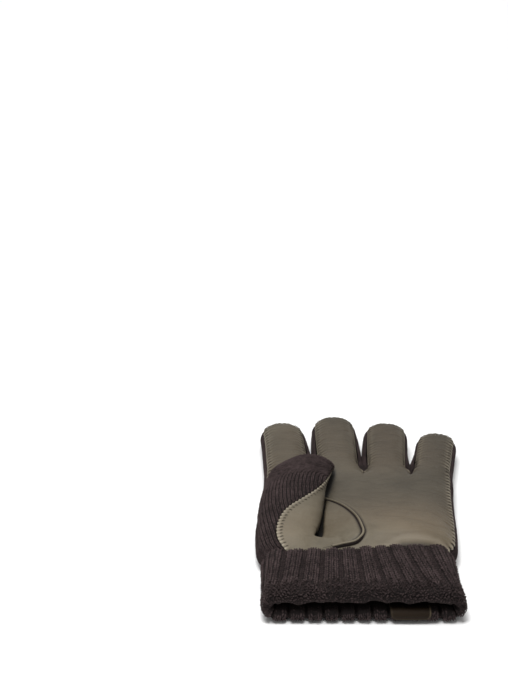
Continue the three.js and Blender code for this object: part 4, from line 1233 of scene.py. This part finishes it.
# The cuff's wall in section, from its free edge round the front fold to the inside: y, depth under the
# outline, how strong the ribs are, and how much the turned edge swells.
CUFF_WALL = np.array([
    (CUFF_FREE - 0.9, 2.2, 0.1, 0), (CUFF_FREE + 0.1, 1.7, 0.3, 0), (CUFF_FREE - 0.2, 0.9, 0.45, 0),
    (46, 0.45, 0.7, 0), (43, 0.15, 0.95, 0), (36, 0, 1.05, 0), (24, 0, 1.05, 0), (14, 0, 0.95, 0),
    (8, -0.1, 0.8, 0), (4, 0.1, 0.6, 0), (1.6, 0.55, 0.5, 0), (0.3, 1.5, 0.5, 0.1), (0.0, 2.4, 0.5, 0.3),
    (0.3, 3.3, 0.5, 0.6), (1.2, 4.1, 0.5, 0.9), (3, 4.6, 0.5, 1), (8, 4.6, 0.5, 0.7), (14, 4.6, 0.3, 0.1),
    (28, 4.6, -0.3, 0), (39.5, 4.6, -0.3, 0),
])


def cuff_profile(count):
    """The cuff's wall at a number of equal steps."""
    run = run_along(CUFF_WALL[:, :2])
    table = np.column_stack([run, CUFF_WALL])
    at = np.linspace(0, run[-1], count)
    return np.stack([read(table, k, at) for k in (1, 2, 3, 4)], axis=1)


def slant(x):
    """How far up the free edge runs, less on the thumb's side than on the little finger's."""
    return mix(SLANT_LEFT, SLANT_RIGHT, smooth((x + 20) / 50))


def cuff_grid(profile, shares, lift=0.0):
    """Points of the cuff: its rows follow the wall's section, and its columns go round the wrist."""
    wave, lump = cuff_wave(shares) * RIB_DEPTH, cuff_lump(shares)
    sag = 0.5 * np.sin(shares * 61 + 1.0) + 0.4 * np.sin(shares * 113)
    ripple = 0.5 * np.cos(2 * math.pi * RIBS * shares) + 0.5 * np.sin(shares * 83)
    rows = []
    for y, depth, rib, swell in profile:
        at = np.clip(y, 0, CUFF_FREE)
        ring, out = cuff_ring(at, shares + cuff_fan(shares, at))
        under, over = smooth(-out[:, 1]), np.maximum(0, out[:, 1])
        mouth = 1.7 * math.exp(-((y - 2) / 8) ** 2) * under * smooth((depth - 1.4) / 2.4)
        offset = wave * rib - depth + lift - mouth * lump - swell * over * (FOLD_SWELL + 0.9 * sag)
        p = ring + out * offset[:, None]
        free = clamp01((y - CUFF_JOIN) / (CUFF_FREE - CUFF_JOIN))
        forward = 1.3 * lump * math.exp(-((depth - 2.4) / 1.8) ** 2) * under
        y_here = y - forward * math.exp(-(y / 4) ** 2) + (slant(p[:, 0]) + 0.5 * ripple) * free
        low = 0.3 + 0.5 * (1 - np.exp(-np.maximum(0, p[:, 1]) / 0.5))
        z = np.where(p[:, 1] < 0.8, np.minimum(low, 0.8), p[:, 1])
        rows.append(stack(p[:, 0], y_here, z))
    return np.stack(rows)


WALE_EDGES = np.array([-0.39, -0.13, 0.13, 0.39, 0.61])   # three wales on a rib's crest, and its valley


def ribbed_cuff():
    """The cuff's ground of painted shade, with knitted stitches on the ribs, ones painted darker as shade in
    the valleys between them, and small round ones on the turned edge."""
    shares = np.linspace(0, 1, RIBS * 12, endpoint=False)
    skin = Patches()
    skin.add(cuff_grid(cuff_profile(150), shares, lift=-0.5), closed=True)
    dress(skin.build("rib_cuff_skin"), WOOL_SHADE, "wool_rib", "rib_cuff")

    fine = cuff_profile(300)
    ribs = np.arange(RIBS)[:, None]
    left = ((ribs + WALE_EDGES[None, :-1]) / RIBS).ravel()
    right = ((ribs + WALE_EDGES[None, 1:]) / RIBS).ravel()
    mid = cuff_grid(fine, (left + right) / 2)
    run = run_along(mid)
    rows = np.arange(0.5 * RIB_COURSE, run[-1].min() - 12, RIB_COURSE)

    def pick(grid, at):
        return np.stack([points_at(at, run[:, c], grid[:, c]) for c in range(grid.shape[1])], axis=1)

    spot, before, after = (pick(mid, rows + shift) for shift in (0, -RIB_COURSE / 2, RIB_COURSE / 2))
    across = pick(cuff_grid(fine, right), rows) - pick(cuff_grid(fine, left), rows)
    along = before - after
    tall, wide = np.linalg.norm(along, axis=2), np.linalg.norm(across, axis=2)
    up, along = unit(np.cross(along, across)), unit(along)
    crest = np.broadcast_to(np.tile([True, True, True, False], RIBS), wide.shape)
    at_edge = spot[..., 1] < 11 + 3 * np.sin(spot[..., 0] * 0.9)
    bumpy = at_edge & (spot[..., 2] > 12.5) & (up[..., 2] > -0.6)
    for chosen, shape, name, thick, wool, uneven, turn in (
            (crest & ~bumpy, KNIT_STITCH, "cuff_knit_stitches", 2.2, RIB_WOOL, 0.22, 0.2),
            (~crest & ~bumpy, KNIT_STITCH, "cuff_purl_stitches", 2.0, VALLEY_SHADE_WOOL, 0.2, 0.15),
            (bumpy, BEAD_STITCH, "cuff_fold_stitches", 2.6, FOLD_WOOL, 0.35, 0.9)):
        size = np.stack([wide, tall, np.full(wide.shape, thick)], axis=-1)
        sunk = spot - up * 0.2
        sunk[..., 2] = np.maximum(sunk[..., 2], 0.75)
        places = tuple(v[chosen] for v in (sunk, up, along, size))
        sew(name, shape, places, wool, "wool_rib", ["rib_cuff"], uneven, turn)


ribbed_cuff()


# Hem tab.
def hem_tab():
    """The tab's leather bent over the cuff's front edge: two sheets from inside the cuff to its free end,
    with a rim between them."""
    corner = 3.2
    rest = RIB_DEPTH + CUFF_DOUBLE + RIB_DEPTH / 2 + TAB_GAP + TAB_WALL / 2
    front = -RIB_DEPTH * 0.2 - TAB_GAP - TAB_WALL / 2
    bend = arch([(TAB_BEND, rest), (front, rest), (front, TAB_BEND)], 16)
    path = np.vstack([(TAB_INSIDE, rest), (9, rest), bend[:-3],
                      (front + 0.15, TAB_LOW + 0.4), (front + 0.2, TAB_LOW)])
    run = run_along(path)
    rows = np.linspace(0, run[-1], 40)
    y, z = points_at(rows, run, path).T
    normal_y, normal_z = unit(np.stack([np.gradient(z), -np.gradient(y)], axis=1)).T[..., None]
    y, z = y[:, None], z[:, None]
    from_end = (run[-1] - rows)[:, None]
    rounded = corner - np.sqrt(np.maximum(0, corner ** 2 - (corner - from_end) ** 2))
    narrow = np.where(from_end < corner, rounded, 0)
    u = np.linspace(0, 1, 40)[None, :]
    x = mix(TAB_LEFT + narrow, TAB_RIGHT - narrow, u)
    bow = 0.35 * np.sin(math.pi * u) * smooth(1 - from_end / 10)
    upper, lower = (stack(x, y + normal_y * puff - bow * 0.5, z + normal_z * puff)
                    for puff in (0.5 * TAB_WALL, -0.5 * TAB_WALL))
    # Painted highlights along the tab's edges, strongest on its right side, and painted shade deep in the
    # cuff's mouth and at its free end by the floor.
    from_side = np.minimum(u, 1 - u) * (TAB_RIGHT - TAB_LEFT)
    rim = np.where(u > 0.5, 0.6, 0.15) * np.exp(-((from_side - 0.35) / 0.3) ** 2)
    ridge = np.maximum(rim, 0.2 * np.exp(-((np.minimum(from_side, from_end) - 0.35) / 0.3) ** 2))
    shade = 0.75 * smooth((from_end - 5.0) / 5) + 0.25 * np.exp(-(from_end / 2.0) ** 2)
    patches = Patches()
    patches.add(upper, ridge=ridge, shade=shade, flip=True)
    patches.add(lower, ridge=ridge, shade=shade)
    for a, b in ((upper[:, 0], lower[:, 0]), (lower[:, -1], upper[:, -1]),
                 (upper[-1], lower[-1]), (lower[0], upper[0])):
        patches.add(np.stack([a, b]), ridge=0.2, shade=0.2)
    dress(patches.build("hem_tab_leather"), TAB_LEATHER, "tab_leather", "hem_tab")


hem_tab()


# Floor, light and camera.
def pale_floor():
    mesh = bpy.data.meshes.new("floor")
    mesh.from_pydata([(-40, -40, 0), (40, -40, 0), (40, 40, 0), (-40, 40, 0)], [], [(0, 1, 2, 3)])
    floor = bpy.data.objects.new("floor", mesh)
    floor.location.z = -0.0002
    bpy.context.scene.collection.objects.link(floor)
    finish = {"Base Color": (0.96, 0.96, 0.955, 1), "Roughness": 0.8, "Specular IOR Level": 0.1}
    mesh.materials.append(new_material("pale_floor", finish)[0])


def area_light(name, place, target, size, power):
    data = bpy.data.lights.new(name, "AREA")
    data.shape, data.size, data.energy = "DISK", size, power
    light = bpy.data.objects.new(name, data)
    light.location = place
    light.rotation_euler = (Vector(target) - Vector(place)).to_track_quat("-Z", "Y").to_euler()
    bpy.context.scene.collection.objects.link(light)


def studio():
    world = bpy.data.worlds.new("studio")
    bpy.context.scene.world = world
    world.use_nodes = True
    world.node_tree.nodes["Background"].inputs[0].default_value = (1, 1, 1, 1)
    world.node_tree.nodes["Background"].inputs[1].default_value = 0.4
    bpy.context.scene.view_settings.view_transform = "Standard"
    data = bpy.data.lights.new("overhead", "SUN")
    data.energy, data.angle = 2.2, math.radians(50)
    light = bpy.data.objects.new("overhead", data)
    light.rotation_euler = (math.radians(-14), math.radians(-6), 0)
    bpy.context.scene.collection.objects.link(light)
    area_light("near", (-0.05, -0.16, 0.28), (-0.02, -0.05, 0), 0.16, 0.55)


def camera():
    data = bpy.data.cameras.new("camera")
    data.sensor_width = data.sensor_height = 36.0
    data.sensor_fit = "AUTO"
    data.lens = 73.1
    data.clip_start, data.clip_end = 0.02, 50
    eye = bpy.data.objects.new("camera", data)
    eye.location = (-0.0667, -0.7377, 0.3732)
    eye.rotation_euler = (math.radians(90 - 19.47), 0, math.radians(-0.1))
    bpy.context.scene.collection.objects.link(eye)
    bpy.context.scene.camera = eye


pale_floor()
studio()
camera()
